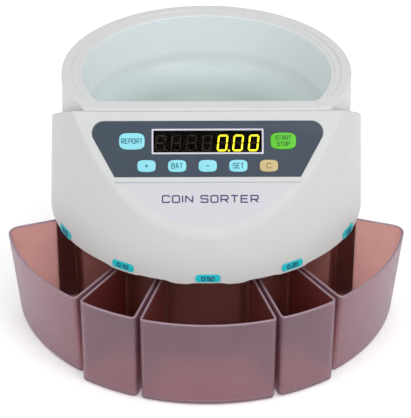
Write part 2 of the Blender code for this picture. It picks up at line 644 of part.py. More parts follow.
def make_drive(axis):
    """Motor on its bracket, and the belt from its pulley to the disc's."""
    steel = material("bright_steel", STEEL)
    at = (0, MOTOR_Y, 0)
    plate_high = PULLEY_Z[0] - 0.0012
    plate_low = plate_high - BRACKET_WALL
    top = plate_low - GAP
    bottom, chamfer = top - MOTOR_LENGTH, 0.002
    profile = [(0, bottom), (MOTOR_R - chamfer, bottom), (MOTOR_R, bottom + chamfer), (MOTOR_R, top),
               (0, top)]
    make("drive_motor", turned(profile, 32), material("motor_steel", (0.30, 0.30, 0.31), 0.35, 1.0), axis, at)
    make("motor_shaft", post(MOTOR_SHAFT_R, plate_low, PULLEY_Z[1] + 0.002), steel, axis, at)
    make_pulley("motor_pulley", DRIVER_R, MOTOR_SHAFT_R + GAP, axis, at)
    half_w, half_d = BRACKET_HALF_W, BRACKET_HALF_D
    bracket = make("motor_bracket", block((-half_w, -half_d, FLOOR_Z + FLOOR_THICK + GAP),
                                          (half_w, half_d, plate_high)),
                   material("bracket_steel", STEEL, 0.4, 1.0), axis, at)
    inside = half_w - BRACKET_WALL
    combine(bracket, block((-inside, -0.03, 0), (inside, 0.03, plate_low)), "DIFFERENCE", axis, at)
    combine(bracket, post(MOTOR_SHAFT_R + 0.002, plate_low - 0.01, plate_high + 0.01), "DIFFERENCE", axis, at)

    def belt_line(grow):
        """Outline round both pulleys, this far outside their grooves."""
        lean = math.asin((DRIVEN_R - DRIVER_R) / MOTOR_Y)
        spans = ((DRIVEN_R, 0, math.pi - lean, math.tau + lean), (DRIVER_R, MOTOR_Y, lean, math.pi - lean))
        return [((r + grow) * math.cos(t), y + (r + grow) * math.sin(t))
                for r, y, start, end in spans
                for t in (start + (end - start) * i / 24 for i in range(25))]

    low, high = PULLEY_Z[0] + 0.002, PULLEY_Z[1] - 0.002
    make("drive_belt", ring(belt_line(GAP + BELT_THICK), belt_line(GAP), low, high),
         material("belt_rubber", (0.02, 0.02, 0.02), 0.7), axis)


def make_electrics(axis):
    """Main board, transformer, and the rear panel with the mains inlet and switch."""
    board = make("main_board", block(*BOARD_BOX), material("circuit_board", BOARD), axis)
    for low, high in BOARD_PARTS:
        combine(board, block(low, high), "UNION", axis)
    core = make("transformer", block(*TRANSFORMER_CORE),
                material("transformer_steel", (0.12, 0.12, 0.13), 0.5, 0.6), axis)
    combine(core, block(*TRANSFORMER_COIL), "UNION", axis)

    panel = make("rear_panel", block(*REAR_PANEL), material("rear_plate", (0.04, 0.04, 0.042), 0.5), axis)
    face_y = REAR_PANEL[1][1]
    inlet_at, switch_at = (INLET_X, face_y, FITTINGS_Z), (SWITCH_X, face_y, FITTINGS_Z)
    black = material("connector_plastic", BLACK, 0.4)

    def fitting(name, place, half_w, half_h, lip, cavity, depth):
        """Flanged block through the panel, with a cavity open to the back."""
        body = make(name, block((-half_w, -0.016, -half_h), (half_w, 0.0005, half_h)), black, axis, place)
        flange = block((-half_w - lip, GAP, -half_h - lip), (half_w + lip, lip, half_h + lip))
        combine(body, flange, "UNION", axis, place)
        hollow = block((-cavity[0], lip - depth, -cavity[1]), (cavity[0], 0.01, cavity[1]))
        combine(body, hollow, "DIFFERENCE", axis, place)
        hole = block((-half_w - GAP, -0.01, -half_h - GAP), (half_w + GAP, 0.01, half_h + GAP))
        combine(panel, hole, "DIFFERENCE", axis, place)
        return body

    inlet = fitting("power_inlet", inlet_at, 0.012, 0.008, 0.002, (0.0088, 0.0045), 0.012)
    pin_y = face_y - 0.0103
    for x in (-PIN_X, PIN_X):
        pin = post(PIN_R, -0.0005, PIN_LENGTH, 12)
        combine(inlet, pin, "UNION", axis, (INLET_X + x, pin_y, FITTINGS_Z), (-math.pi / 2, 0, 0))
    fitting("switch_frame", switch_at, 0.0068, 0.0098, 0.002, (0.0058, 0.0088), 0.012)
    side = [(-0.004, -0.004), (0.0022, -0.0082), (0.0009, 0), (0.0022, 0.0082), (-0.004, 0.004)]
    make("power_rocker", slab(side, 0.0052), material("rocker_plastic", (0.30, 0.012, 0.010), 0.35), axis,
         switch_at, (ROCKER_TILT, 0, 0))


def main():
    for obj in list(bpy.data.objects):
        bpy.data.objects.remove(obj)
    axis = empty("machine_axis", (0, AXIS_Y, 0))
    console = empty("console_face", (0, RIDGE_Y, RIDGE_Z), (CONSOLE_SLOPE, 0, 0), axis)
    make_base(axis)
    make_deck(axis)
    make_rotor(axis)
    make_drive(axis)
    make_electrics(axis)
    make_cover(axis, console)
    make_hopper(axis)
    make_value_plates(axis)
    make_console(console)
    for cup in CUPS:
        make_cup(*cup, axis)


main()
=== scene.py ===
"""Looks of the coin sorting machine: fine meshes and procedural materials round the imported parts.

Metres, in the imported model's frame: the machine faces -Y and stands on z = 0. Most shapes are laid out
round the disc's vertical axis, with angles counted from the front and positive to the right.
"""

import json
import math

import bmesh
import bpy
from mathutils import Matrix, Vector


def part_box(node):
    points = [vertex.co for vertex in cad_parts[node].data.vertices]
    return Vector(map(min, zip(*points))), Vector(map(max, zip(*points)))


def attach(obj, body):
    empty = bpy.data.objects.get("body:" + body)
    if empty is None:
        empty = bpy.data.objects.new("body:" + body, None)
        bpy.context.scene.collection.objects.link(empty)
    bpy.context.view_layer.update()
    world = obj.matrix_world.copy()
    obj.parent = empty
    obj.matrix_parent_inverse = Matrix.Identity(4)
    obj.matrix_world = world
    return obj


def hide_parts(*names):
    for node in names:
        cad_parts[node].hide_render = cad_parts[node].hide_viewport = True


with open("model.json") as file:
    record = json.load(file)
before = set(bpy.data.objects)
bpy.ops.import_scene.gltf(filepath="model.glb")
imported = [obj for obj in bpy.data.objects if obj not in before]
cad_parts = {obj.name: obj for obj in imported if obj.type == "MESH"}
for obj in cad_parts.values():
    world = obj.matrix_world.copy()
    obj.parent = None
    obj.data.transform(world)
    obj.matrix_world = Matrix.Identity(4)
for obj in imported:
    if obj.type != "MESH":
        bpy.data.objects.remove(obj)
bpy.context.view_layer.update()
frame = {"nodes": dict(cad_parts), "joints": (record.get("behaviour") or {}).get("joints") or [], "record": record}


def middle(node):
    low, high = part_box(node)
    return (low + high) / 2


def joint_axis(name):
    return Vector(next(joint["axis"] for joint in frame["joints"] if joint["name"] == name))


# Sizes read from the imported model
AXIS_Y = middle("sorting_disc").y
COVER_LOW, COVER_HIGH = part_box("upper_cover")
COVER_R, COVER_BOTTOM = COVER_HIGH.x, COVER_LOW.z
RIDGE = max((v.co for v in frame["nodes"]["upper_cover"].data.vertices), key=lambda co: co.z)
RIDGE_Y, RIDGE_Z = RIDGE.y - AXIS_Y, RIDGE.z
PRESS = joint_axis("press_report")
CONSOLE_SLOPE = math.atan2(PRESS.y, -PRESS.z)
RIM_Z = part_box("hopper_bowl")[1].z
THROAT_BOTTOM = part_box("hopper_bowl")[0].z
CUP_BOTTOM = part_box("cup_front")[0].z

AT_AXIS = Matrix.Translation((0, AXIS_Y, 0))
CONSOLE = Matrix.Translation((0, AXIS_Y + RIDGE_Y, RIDGE_Z)) @ Matrix.Rotation(CONSOLE_SLOPE, 4, "X")

# All pieces
GAP = 0.0003            # space kept between pieces that touch
CUT = 0.01              # how far cutters reach past what they cut
SHARP = 32              # degrees from which an edge stays sharp
SOFT_EDGE, WEAR_WIDTH = 0.0003, 0.0007

# Cover, and then hopper
WALL = 0.0027
COVER_DRAFT = 0.046     # how much the cover's radius shrinks for each metre of height
SHOULDER_Z = 0.1468
BACK_SLOPE = math.radians(31)
RIDGE_ROUND, SHOULDER_ROUND, COVER_ROUND = 0.0015, 0.004, 0.0036
WELL_EDGE, LIP_INNER_EDGE, LIP_OUTER_EDGE = 0.0007, 0.0007, 0.0009
SEAT_Z, SHELF_Z, SHELF_R, SHELF_SETBACK = 0.1435, 0.1403, 0.118, 0.006

# Scallops of the cover's bottom edge: depth, middle in degrees, and where each starts to fade and ends
SCALLOPS = ((0.0018, 0, 11.5, 15.5), (-0.0015, 0, 4.5, 7.5), (0.0008, 0, 34, 42), (0.0010, 31, 5, 7))

HOPPER_R, HOPPER_DRAFT, HOPPER_BOTTOM, HOPPER_WALL = 0.126, 0.018, 0.1438, 0.0025
HOPPER_FRONT = -RIDGE_Y - GAP
RIM_EDGE = 0.0014
RAISED_RIM_R, RAISED_RIM_SLOPE, RAISED_RIM_H = 0.1167, 0.0008, 0.0012
DECK_RIM_Z = RIM_Z - RAISED_RIM_H
STEP_R, STEP_SLOPE, STEP_DROP = 0.1113, 0.0005, 0.0006
MOUTH_R, BOWL_FRONT, BOWL_CORNER = 0.1083, 0.057, 0.005
HOPPER_EDGE, MOUTH_ROUND, BOWL_ROUND, THROAT_ROUND = 0.0005, 0.0016, 0.010, 0.004
BOWL_FLOOR_R, BOWL_FLOOR_Z, THROAT_R, THROAT_Z = 0.104, 0.181, 0.034, 0.148

# Console, in its own frame: x, and distance down the slope from the ridge
PANEL_TOP, PANEL_FOOT, PANEL_TOP_HALF, PANEL_FOOT_HALF, PANEL_CORNER = 0.0090, 0.0558, 0.1032, 0.0776, 0.010
PANEL_PROUD, PANEL_THICK, PANEL_EDGE = 0.0003, 0.0013, 0.00015
POCKET_GAP, POCKET_LEDGE = 0.0004, 0.0018
WINDOW_W, WINDOW_H, WINDOW_DOWN, WINDOW_CORNER = 0.0930, 0.0208, 0.0261, 0.0008
LENS_THICK = 0.0009
FRAME_W, FRAME_PROUD, FRAME_LAP = 0.0011, 0.0005, 0.0003
DIGIT_PITCH, DIGIT_W, DIGIT_H, DIGIT_DOWN, DIGIT_LEAN = 0.0130, 0.0088, 0.0142, 0.0273, 0.11
DIGIT_SHIFT, DIGIT_LOW, DIGIT_HIGH = -0.0005, -0.00125, -0.00100
DIGITS, FIRST_LIT = 7, 4        # places, counted from 0, and the first lit one, which has the point
SEGMENT, SEGMENT_SPLIT = 0.0016, 0.00012
POINT_R, POINT_SIDE, POINT_RISE = 0.0008, 0.0016, 0.0007
LABEL_TOP, LABEL_INSET, LABEL_THICK, LABEL_LINE, LABEL_LINE_PROUD = 0.0606, 0.0055, 0.0001, 0.0006, 0.00016
NAME_SIZE, NAME_STROKE, NAME_PLACE = (0.0808, 0.0067), 0.00115, (0.002, -0.07455)
KEY_PROUD, KEY_FLANGE, KEY_CROWN, KEY_POWER = 0.0016, 0.0012, 0.0004, 3.4
KEY_BOTTOM, KEY_FLANGE_TOP, KEY_SIDE_TOP = -0.0030, -0.0016, 0.0006
KEY_EDGE = ((0.0001, 0.00030), (0.00035, 0.00012), (0.0007, 0.00003))   # inset and drop from the crown
KEY_STROKE = 0.00068

# Cups: centre and half angle, corner radii at the side nearer the front and at the other, and draft
CUPS = {
    "cup_front": (0.0, 18.7, 0.0035, 0.0035, 0.0006),
    "cup_mid_right": (28.6, 8.8, 0.0045, 0.0045, 0.0006),
    "cup_mid_left": (-28.6, 8.8, 0.0045, 0.0045, 0.0006),
    "cup_right": (60.05, 21.45, 0.005, 0.010, 0.0080),
    "cup_left": (-60.05, 21.45, 0.005, 0.010, 0.0080),
}
CUP_RIM_R, CUP_INNER_R, CUP_WALL, CUP_TOP, CUP_RISE = 0.1808, 0.118, 0.0022, 0.084, 0.0073
CUP_SIDE_SHARE, CUP_INNER_CORNER, CUP_LEAST_CORNER = 0.2, 0.003, 0.0012
CUP_FOOT_ROUND, CUP_FLOOR_ROUND, CUP_RIM_STEPS, CUP_CORNER_STEPS = 0.0026, 0.0022, 6, 8
CUP_ARC_STEP = math.radians(0.8)
CUP_WALL_LOOPS = (0.3, 0.6, 0.9)        # shares of the height

# Base
DRUM_R, FRONT_DRUM_R, STEP_ANGLE, DRUM_WALL, DRUM_EDGE = 0.1366, 0.1155, 82.3, 0.0025, 0.0007
NOTCH_HALF, NOTCH_DROP = 0.0135, 0.0105
REAR_OPENING = ((-0.033, 0.12, 0.018), (0.033, 0.15, 0.074))

# Feet: depth of the hollow underneath, shares of the radius over which it ends, points (inset, height)
# up the edge, and taper
FOOT_HOLLOW, FOOT_HOLLOW_ENDS, FOOT_TAPER = 0.0006, (0.55, 0.62), 0.0004
FOOT_EDGE = ((0.0012, 0), (0.0003, 0.0004), (0, 0.0013))

# Value plates: angle and number of each
PLATES = {
    "front": (0.0, "0.50"), "mid_right": (31.0, "0.20"), "mid_left": (-31.0, "0.10"), "right": (62.0, "1.00"),
    "left": (-62.0, "0.05"),
}
PLATE_W, PLATE_H, PLATE_CORNER, PLATE_MID_Z = 0.0212, 0.0072, 0.00336, 0.1041
PLATE_LAYERS = ((0, GAP), (0, GAP + 0.0004), (0.0002, GAP + 0.0006))    # inset, and height off the cover
NUMBER_SIZE, NUMBER_STROKE = (0.0112, 0.0040), 0.0008

# Characters as strokes, in a box one wide and one high, and the widths of those that are narrower
GLYPHS = {
    "A": (((0, 0), (0.42, 1), (0.58, 1), (1, 0)), ((0.16, 0.3), (0.84, 0.3))),
    "B": (((0.5, 0), (0, 0), (0, 1), (0.85, 1), (0.95, 0.88), (0.95, 0.62), (0.85, 0.52), (1, 0.4), (1, 0.12),
           (0.88, 0), (0.5, 0)), ((0, 0.52), (0.85, 0.52))),
    "C": (((1, 0.8), (1, 0.9), (0.88, 1), (0.12, 1), (0, 0.9), (0, 0.1), (0.12, 0), (0.88, 0), (1, 0.1),
           (1, 0.2)),),
    "E": (((1, 1), (0, 1), (0, 0), (1, 0)), ((0, 0.52), (0.9, 0.52))),
    "I": (((0, 0), (0, 1)),),
    "N": (((0, 0), (0, 1)), ((0, 1), (1, 0)), ((1, 0), (1, 1))),
    "O": (((0.5, 0), (0.88, 0), (1, 0.12), (1, 0.88), (0.88, 1), (0.12, 1), (0, 0.88), (0, 0.12), (0.12, 0),
           (0.5, 0)),),
    "P": (((0, 0), (0, 1), (0.88, 1), (1, 0.9), (1, 0.52), (0.88, 0.42), (0, 0.42)),),
    "R": (((0, 0), (0, 1), (0.88, 1), (1, 0.9), (1, 0.52), (0.88, 0.42), (0, 0.42)), ((0.5, 0.42), (1, 0))),
    "S": (((1, 0.8), (1, 0.9), (0.88, 1), (0.12, 1), (0, 0.9), (0, 0.62), (0.12, 0.52), (0.88, 0.52),
           (1, 0.42), (1, 0.1), (0.88, 0), (0.12, 0), (0, 0.1), (0, 0.2)),),
    "T": (((0, 1), (1, 1)), ((0.5, 1), (0.5, 0))),
    "+": (((0, 0.5), (1, 0.5)), ((0.5, 0), (0.5, 1))),
    "-": (((0, 0.5), (1, 0.5)),),
    ".": (((0, 0), (0, 0.08)),),
    " ": (),
    "1": (((0, 0.75), (1, 1), (1, 0)),),
    "2": (((0, 0.8), (0, 0.9), (0.12, 1), (0.88, 1), (1, 0.9), (1, 0.62), (0, 0.12), (0, 0), (1, 0)),),
    "5": (((1, 1), (0, 1), (0, 0.55), (0.88, 0.55), (1, 0.45), (1, 0.1), (0.88, 0), (0, 0)),),
}
GLYPHS["0"] = GLYPHS["O"]
GLYPH_WIDTHS = {"I": 0, ".": 0, " ": 0.3, "1": 0.4}
LETTER_SPACE, LETTER_THICK, LETTER_SINK = 0.46, 0.00006, 0.00002
MITRE_LIMIT = 0.6       # keeps the corners of sharp turns short

# Stage and camera
FLOOR_WHITE, FLOOR_GLOW, FLOOR_SIZE, SURROUND_GLOW = (0.95, 0.95, 0.95), 0.25, 6, 0.60
LAMP_SIZE = 1.8
LAMPS = (("key", (1.3, -1.6, 1.8), 20), ("fill", (-1.6, -1.3, 1.6), 10), ("top", (0.2, -0.2, 2.4), 14))
LAMP_TARGET = Vector((0, 0, 0.1))
CAMERA_TARGET = Vector((-0.000526, AXIS_Y, 0.08625))
CAMERA_DISTANCE, CAMERA_LENS = 1.687, 159.5
CAMERA_AZIMUTH, CAMERA_ELEVATION, CAMERA_ROLL = (math.radians(angle) for angle in (-0.7, 31.73, 0.173))


# Shared geometry


def polar(angle, radius):
    """Point at this angle from the front, in radians."""
    return radius * math.sin(angle), -radius * math.cos(angle)


def smooth_min(a, b, size):
    """The smaller of two lengths, rounded off over this size where they cross."""
    blend = max(size - abs(a - b), 0)
    return min(a, b) - blend * blend / (4 * size)


def smooth_max(a, b, size):
    return -smooth_min(-a, -b, size)


def settle(height, start):
    """Height at which a leaning wall meets a sloping surface."""
    z = start
    for _ in range(12):
        z = height(z)
    return z


def rounded(corners, steps=5):
    """Closed outline through (a, b, reach) corners, each turned into a curve that starts this far from it."""
    points = []
    for i, (a, b, reach) in enumerate(corners):
        corner = Vector((a, b))
        if not reach:
            points.append(tuple(corner))
            continue
        before = Vector(corners[i - 1][:2]) - corner
        after = Vector(corners[(i + 1) % len(corners)][:2]) - corner
        reach = min(reach, 0.48 * before.length, 0.48 * after.length)
        start, end = corner + before.normalized() * reach, corner + after.normalized() * reach
        for step in range(steps + 1):
            t = step / steps
            points.append(tuple(start * (1 - t) ** 2 + corner * 2 * t * (1 - t) + end * t ** 2))
    return points


def sleeve(loops, closed=True, bm=None):
    """Skin through loops of equally many points: the last joins the first, or both are capped."""
    bm = bm or bmesh.new()
    rows = [[bm.verts.new(point) for point in loop] for loop in loops]
    for low, high in zip(rows, rows[1:] + rows[:1] if closed else rows[1:]):
        for i in range(len(low)):
            bm.faces.new((low[i - 1], low[i], high[i], high[i - 1]))
    if not closed:
        bm.faces.new(reversed(rows[0]))
        bm.faces.new(rows[-1])
    return bm


def prism(outline, low, high, bm=None):
    return sleeve([[(x, y, z) for x, y in outline] for z in (low, high)], closed=False, bm=bm)


def block(low, high):
    outline = [(low[0], low[1]), (high[0], low[1]), (high[0], high[1]), (low[0], high[1])]
    return prism(outline, low[2], high[2])


def turned(profile, steps=96):
    """Body turned about Z from a closed outline of (radius, height); radius 0 closes on the axis."""
    bm = bmesh.new()
    verts = [bm.verts.new((radius, 0, height)) for radius, height in profile]
    pairs = zip(verts, verts[1:] + verts[:1])
    edges = [bm.edges.new(pair) for pair in pairs if pair[0].co.x or pair[1].co.x]
    bmesh.ops.spin(bm, geom=verts + edges, axis=(0, 0, 1), cent=(0, 0, 0), angle=math.tau, steps=steps)
    bmesh.ops.remove_doubles(bm, verts=bm.verts, dist=1e-7)
    return bm


def columns():
    """Angles of the housings' columns: each half degree up to 62 degrees from the front, then each 1.5."""
    halves = [a for a in range(720) if a % 3 == 0 or min(a, 720 - a) <= 124]
    return [math.radians(a / 2) for a in halves]


def fade(value, start, end):
    """Smooth fall from 1 at start to 0 at end."""
    t = min(max((end - value) / (end - start), 0), 1)
    return t * t * (3 - 2 * t)


def flat(angle, radius, front, size=0.0):
    """Radius of a circle that a flat front cuts off, at this angle, with its corners rounded by size."""
    ahead = math.cos(angle)
    if ahead <= 0.05:   # the front doesn't reach this far round
        return radius
    return smooth_min(radius, front / ahead, size) if size else min(radius, front / ahead)


def make(name, bm, stuff, matrix=AT_AXIS, sharp=SHARP):
    """Object from a bmesh, with its place in its mesh."""
    bmesh.ops.recalc_face_normals(bm, faces=bm.faces)
    bm.transform(matrix)
    mesh = bpy.data.meshes.new(name)
    bm.to_mesh(mesh)
    bm.free()
    mesh.shade_smooth()
    mesh.set_sharp_from_angle(angle=math.radians(sharp))
    mesh.materials.append(stuff)
    obj = bpy.data.objects.new(name, mesh)
    bpy.context.scene.collection.objects.link(obj)
    return obj


def even_normals(obj):
    modifier = obj.modifiers.new("even_normals", "WEIGHTED_NORMAL")
    modifier.keep_sharp = True
    return obj


def carve(obj, bm, matrix=AT_AXIS):
    """Cuts a closed shape out of obj."""
    helper = make(f"{obj.name}_helper", bm, obj.data.materials[0], matrix)
    modifier = obj.modifiers.new("cut", "BOOLEAN")
    modifier.operation = "DIFFERENCE"
    modifier.solver = "EXACT"
    modifier.object = helper
    bpy.context.view_layer.update()
    result = bpy.data.meshes.new_from_object(obj.evaluated_get(bpy.context.evaluated_depsgraph_get()))
    obj.modifiers.remove(modifier)
    plain = obj.data
    obj.data = result
    bpy.data.meshes.remove(plain)
    bpy.data.objects.remove(helper)
    result.shade_smooth()
    result.set_sharp_from_angle(angle=math.radians(SHARP))


def stands_for(obj, node, body="chassis"):
    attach(obj, body)
    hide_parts(node)
    return obj


# Materials


def link(tree, source, target):
    tree.links.new(source, target)


def noise(tree, scale, detail=3.0, stretch=None):
    """Noise in the object's own metres, for instance stretched along an axis."""
    place = tree.nodes.new("ShaderNodeTexCoord")
    texture = tree.nodes.new("ShaderNodeTexNoise")
    texture.inputs["Scale"].default_value = scale
    texture.inputs["Detail"].default_value = detail
    source = place.outputs["Object"]
    if stretch:
        mapping = tree.nodes.new("ShaderNodeMapping")
        mapping.inputs["Scale"].default_value = stretch
        link(tree, source, mapping.inputs["Vector"])
        source = mapping.outputs["Vector"]
    link(tree, source, texture.inputs["Vector"])
    return texture.outputs["Fac"]


def spread(tree, source, low, high, start=0.3, end=0.7):
    """Noise spread over a range of values."""
    node = tree.nodes.new("ShaderNodeMapRange")
    node.inputs["From Min"].default_value = start
    node.inputs["From Max"].default_value = end
    node.inputs["To Min"].default_value = low
    node.inputs["To Max"].default_value = high
    link(tree, source, node.inputs["Value"])
    return node.outputs["Result"]


def mixed(tree, factor, first, second):
    """Colour between two, each a colour or a node's output."""
    node = tree.nodes.new("ShaderNodeMix")
    node.data_type = "RGBA"
    link(tree, factor, node.inputs["Factor"])
    for name, value in (("A", first), ("B", second)):
        socket = next(s for s in node.inputs if s.name == name and s.type == "RGBA")
        if isinstance(value, tuple):
            socket.default_value = (*value, 1)
        else:
            link(tree, value, socket)
    return next(s for s in node.outputs if s.type == "RGBA")


def worn_edges(tree, radius):
    """1 on convex edges, broken up by noise, and 0 elsewhere."""
    bevel = tree.nodes.new("ShaderNodeBevel")
    bevel.samples = 4
    bevel.inputs["Radius"].default_value = radius
    surface = tree.nodes.new("ShaderNodeNewGeometry")
    dot = tree.nodes.new("ShaderNodeVectorMath")
    dot.operation = "DOT_PRODUCT"
    link(tree, bevel.outputs["Normal"], dot.inputs[0])
    link(tree, surface.outputs["Normal"], dot.inputs[1])
    edge = spread(tree, dot.outputs["Value"], 1, 0, 0.80, 0.97)
    product = tree.nodes.new("ShaderNodeMath")
    product.operation = "MULTIPLY"
    link(tree, edge, product.inputs[0])
    link(tree, spread(tree, noise(tree, 260), 0, 1, 0.42, 0.62), product.inputs[1])
    return product.outputs["Value"]


def plastic(name, colour, roughness=0.42, grain=900, depth=0.00003, vary=0.05, wear=0.0, metallic=0.0,
            brushed=None, low_shade_colour=None, low_shade_z=(0, 1), **sockets):
    """Principled material with mottled colour, uneven gloss, a fine grain unless depth is 0, and worn edges.

    The low colour is painted shade: what it turns to from the higher of the two heights down to the lower.
    """
    made = bpy.data.materials.new(name)
    made.use_nodes = True
    tree = made.node_tree
    shader = tree.nodes["Principled BSDF"]
    dark = tuple(c * (1 - vary) for c in colour)
    light = tuple(min(c * (1 + vary), 1) for c in colour)
    shade = mixed(tree, spread(tree, noise(tree, 35, 4.0), 0, 1), dark, light)
    # Painted shade: the colour darkens to the low colour towards the lower of the two heights.
    if low_shade_colour:
        place = tree.nodes.new("ShaderNodeTexCoord")
        split = tree.nodes.new("ShaderNodeSeparateXYZ")
        link(tree, place.outputs["Object"], split.inputs["Vector"])
        shade = mixed(tree, spread(tree, split.outputs["Z"], 1, 0, *low_shade_z), shade, low_shade_colour)
    if wear:
        pale = tuple(c + (0.85 - c) * wear for c in colour)
        shade = mixed(tree, worn_edges(tree, WEAR_WIDTH), shade, pale)
    link(tree, shade, shader.inputs["Base Color"])
    gloss = noise(tree, 160, 4.0, brushed)
    link(tree, spread(tree, gloss, roughness - 0.06, roughness + 0.06), shader.inputs["Roughness"])
    if depth:
        bump = tree.nodes.new("ShaderNodeBump")
        bump.inputs["Strength"].default_value = 0.35
        bump.inputs["Distance"].default_value = depth
        link(tree, noise(tree, grain, 2.0, brushed), bump.inputs["Height"])
        link(tree, bump.outputs["Normal"], shader.inputs["Normal"])
    shader.inputs["Metallic"].default_value = metallic
    for socket, value in sockets.items():
        shader.inputs[socket.replace("_", " ")].default_value = value
    return made


cover_white = plastic("moulded_white", (0.575, 0.59, 0.585), 0.42, vary=0.012, wear=0.25)
hopper_white = plastic("hopper_white", (0.62, 0.635, 0.63), 0.40, vary=0.012, wear=0.25)
# Painted light and shade: the bowl's inside is a much lighter copy of the hopper's white, and darkens to a greener
# grey from 0.196 m down to 0.168 m, towards its floor.
bowl_light_and_shade = plastic("bowl_light_and_shade", (0.82, 0.87, 0.89), 0.34, vary=0.012,
                     low_shade_colour=(0.378, 0.452, 0.438), low_shade_z=(0.168, 0.196))
base_black = plastic("base_black", (0.020, 0.015, 0.021), 0.45, vary=0.15, wear=0.08)
cup_clear = plastic("cup_clear", (0.98, 0.42, 0.28), 0.12, depth=0, vary=0.03,
                    Transmission_Weight=1.0, IOR=1.49)
cup_frosted = plastic("cup_frosted", (0.51, 0.31, 0.405), 0.38, depth=0, vary=0.03,
                      Transmission_Weight=0.77, IOR=1.49)
cup_rim = plastic("cup_rim", (0.44, 0.31, 0.38), 0.38, depth=0, vary=0.03,
                  Transmission_Weight=0.4, IOR=1.49)
film = plastic("panel_film", (0.042, 0.058, 0.084), 0.42, grain=2500, depth=0.00001, vary=0.06, wear=0.12,
               Specular_IOR_Level=0.3)
silver_line = plastic("silver_line", (0.62, 0.60, 0.68), 0.35, vary=0.05)
lens_smoke = plastic("lens_smoke", (0.60, 0.57, 0.57), 0.05, grain=60, depth=0.000005, vary=0.05,
                     Transmission_Weight=1.0, IOR=1.12, Specular_IOR_Level=0.1)
segment_off = plastic("segment_off", (0.075, 0.052, 0.036), 0.5, vary=0.2, Specular_IOR_Level=0.1)
lit_yellow = plastic("lit_yellow", (0.9, 0.85, 0.05), 0.4, vary=0.05, Emission_Color=(1.0, 0.93, 0.02, 1),
                     Emission_Strength=2.6)
led_black = plastic("led_black", (0.002, 0.0018, 0.0018), 0.6, vary=0.2, Specular_IOR_Level=0.1)
key_blue = plastic("key_blue", (0.24, 0.66, 0.75), 0.38, grain=1500, vary=0.03, wear=0.6,
                   Sheen_Weight=0.15)
key_green = plastic("key_green", (0.085, 0.50, 0.010), 0.38, grain=1500, vary=0.05, wear=0.4,
                    Sheen_Weight=0.15)
key_sand = plastic("key_sand", (0.52, 0.41, 0.19), 0.38, grain=1500, vary=0.05, wear=0.3,
                   Sheen_Weight=0.15)
ink_navy = plastic("ink_navy", (0.01, 0.04, 0.13), 0.5, vary=0.1)
ink_teal = plastic("ink_teal", (0.01, 0.12, 0.17), 0.5, vary=0.1)
ink_green = plastic("ink_green", (0.015, 0.13, 0.01), 0.5, vary=0.1)
ink_brown = plastic("ink_brown", (0.20, 0.13, 0.05), 0.5, vary=0.1)
label_white = plastic("label_white", (0.565, 0.567, 0.605), 0.38, vary=0.01)
# Painted shade: the dark grey of the line along the label's top edge.
label_edge_shade = plastic("label_edge_shade", (0.36, 0.36, 0.40), 0.5, vary=0.05)
ink_violet = plastic("ink_violet", (0.05, 0.042, 0.15), 0.5, vary=0.1)
plate_cyan = plastic("plate_cyan", (0.0, 0.50, 0.56), 0.35, vary=0.05, wear=0.2, Specular_IOR_Level=0.3)


def brushed_metal(name, colour, roughness=0.32):
    return plastic(name, colour, roughness, grain=1200, vary=0.06, wear=0.2, metallic=1.0,
                   brushed=(1, 1, 0.06))


SLOT_MATERIALS = {
    "base_plastic": base_black,
    "rubber": plastic("foot_rubber", (0.014, 0.014, 0.014), 0.75, grain=1400, depth=0.00006, vary=0.2),
    "zinc_steel": brushed_metal("zinc_steel", (0.55, 0.56, 0.58)),
    "deck_plastic": plastic("deck_plastic", (0.09, 0.09, 0.10), 0.5, vary=0.1),
    "rail_steel": brushed_metal("rail_steel", (0.55, 0.56, 0.58), 0.28),
    "bronze": plastic("sintered_bronze", (0.45, 0.28, 0.10), 0.38, grain=3000, depth=0.00006, metallic=1.0),
    "motor_steel": brushed_metal("motor_steel", (0.30, 0.30, 0.31)),
    "bracket_steel": brushed_metal("bracket_steel", (0.52, 0.53, 0.55), 0.38),
    "belt_rubber": plastic("belt_rubber", (0.02, 0.02, 0.02), 0.7, grain=1800, depth=0.00006, vary=0.2),
    "circuit_board": plastic("circuit_board", (0.02, 0.16, 0.07), 0.4, grain=700, vary=0.25),
    "transformer_steel": plastic("transformer_steel", (0.11, 0.11, 0.12), 0.5, metallic=0.6,
                                 brushed=(1, 30, 1)),
    "rear_plate": plastic("rear_plate", (0.035, 0.035, 0.037), 0.5, vary=0.12, wear=0.1),
    "connector_plastic": plastic("connector_plastic", (0.02, 0.017, 0.018), 0.38, vary=0.12, wear=0.1),
    "cover_plastic": cover_white,
    "hopper_plastic": hopper_white,
    "panel_film": film,
    "smoked_lens": lens_smoke,
    "led_block": led_black,
    "disc_plastic": plastic("disc_plastic", (0.05, 0.05, 0.055), 0.4, vary=0.15, wear=0.15),
    "hub_rubber": plastic("hub_rubber", (0.03, 0.03, 0.03), 0.7, grain=1600, depth=0.00006, vary=0.2),
    "bright_steel": brushed_metal("bright_steel", (0.58, 0.59, 0.61), 0.25),
    "pulley_plastic": plastic("pulley_plastic", (0.55, 0.54, 0.50), 0.42),
    "rocker_plastic": plastic("rocker_plastic", (0.30, 0.012, 0.010), 0.3, vary=0.08, wear=0.1),
    "chute_plastic": plastic("chute_plastic", (0.08, 0.08, 0.085), 0.5, vary=0.12),
    "sensor_plastic": plastic("sensor_plastic", (0.02, 0.018, 0.018), 0.5, vary=0.15),
    "plate_plastic": plate_cyan,
    "cup_plastic": cup_clear,
    "key_blue": key_blue,
    "key_green": key_green,
    "key_sand": key_sand,
}


# Housings


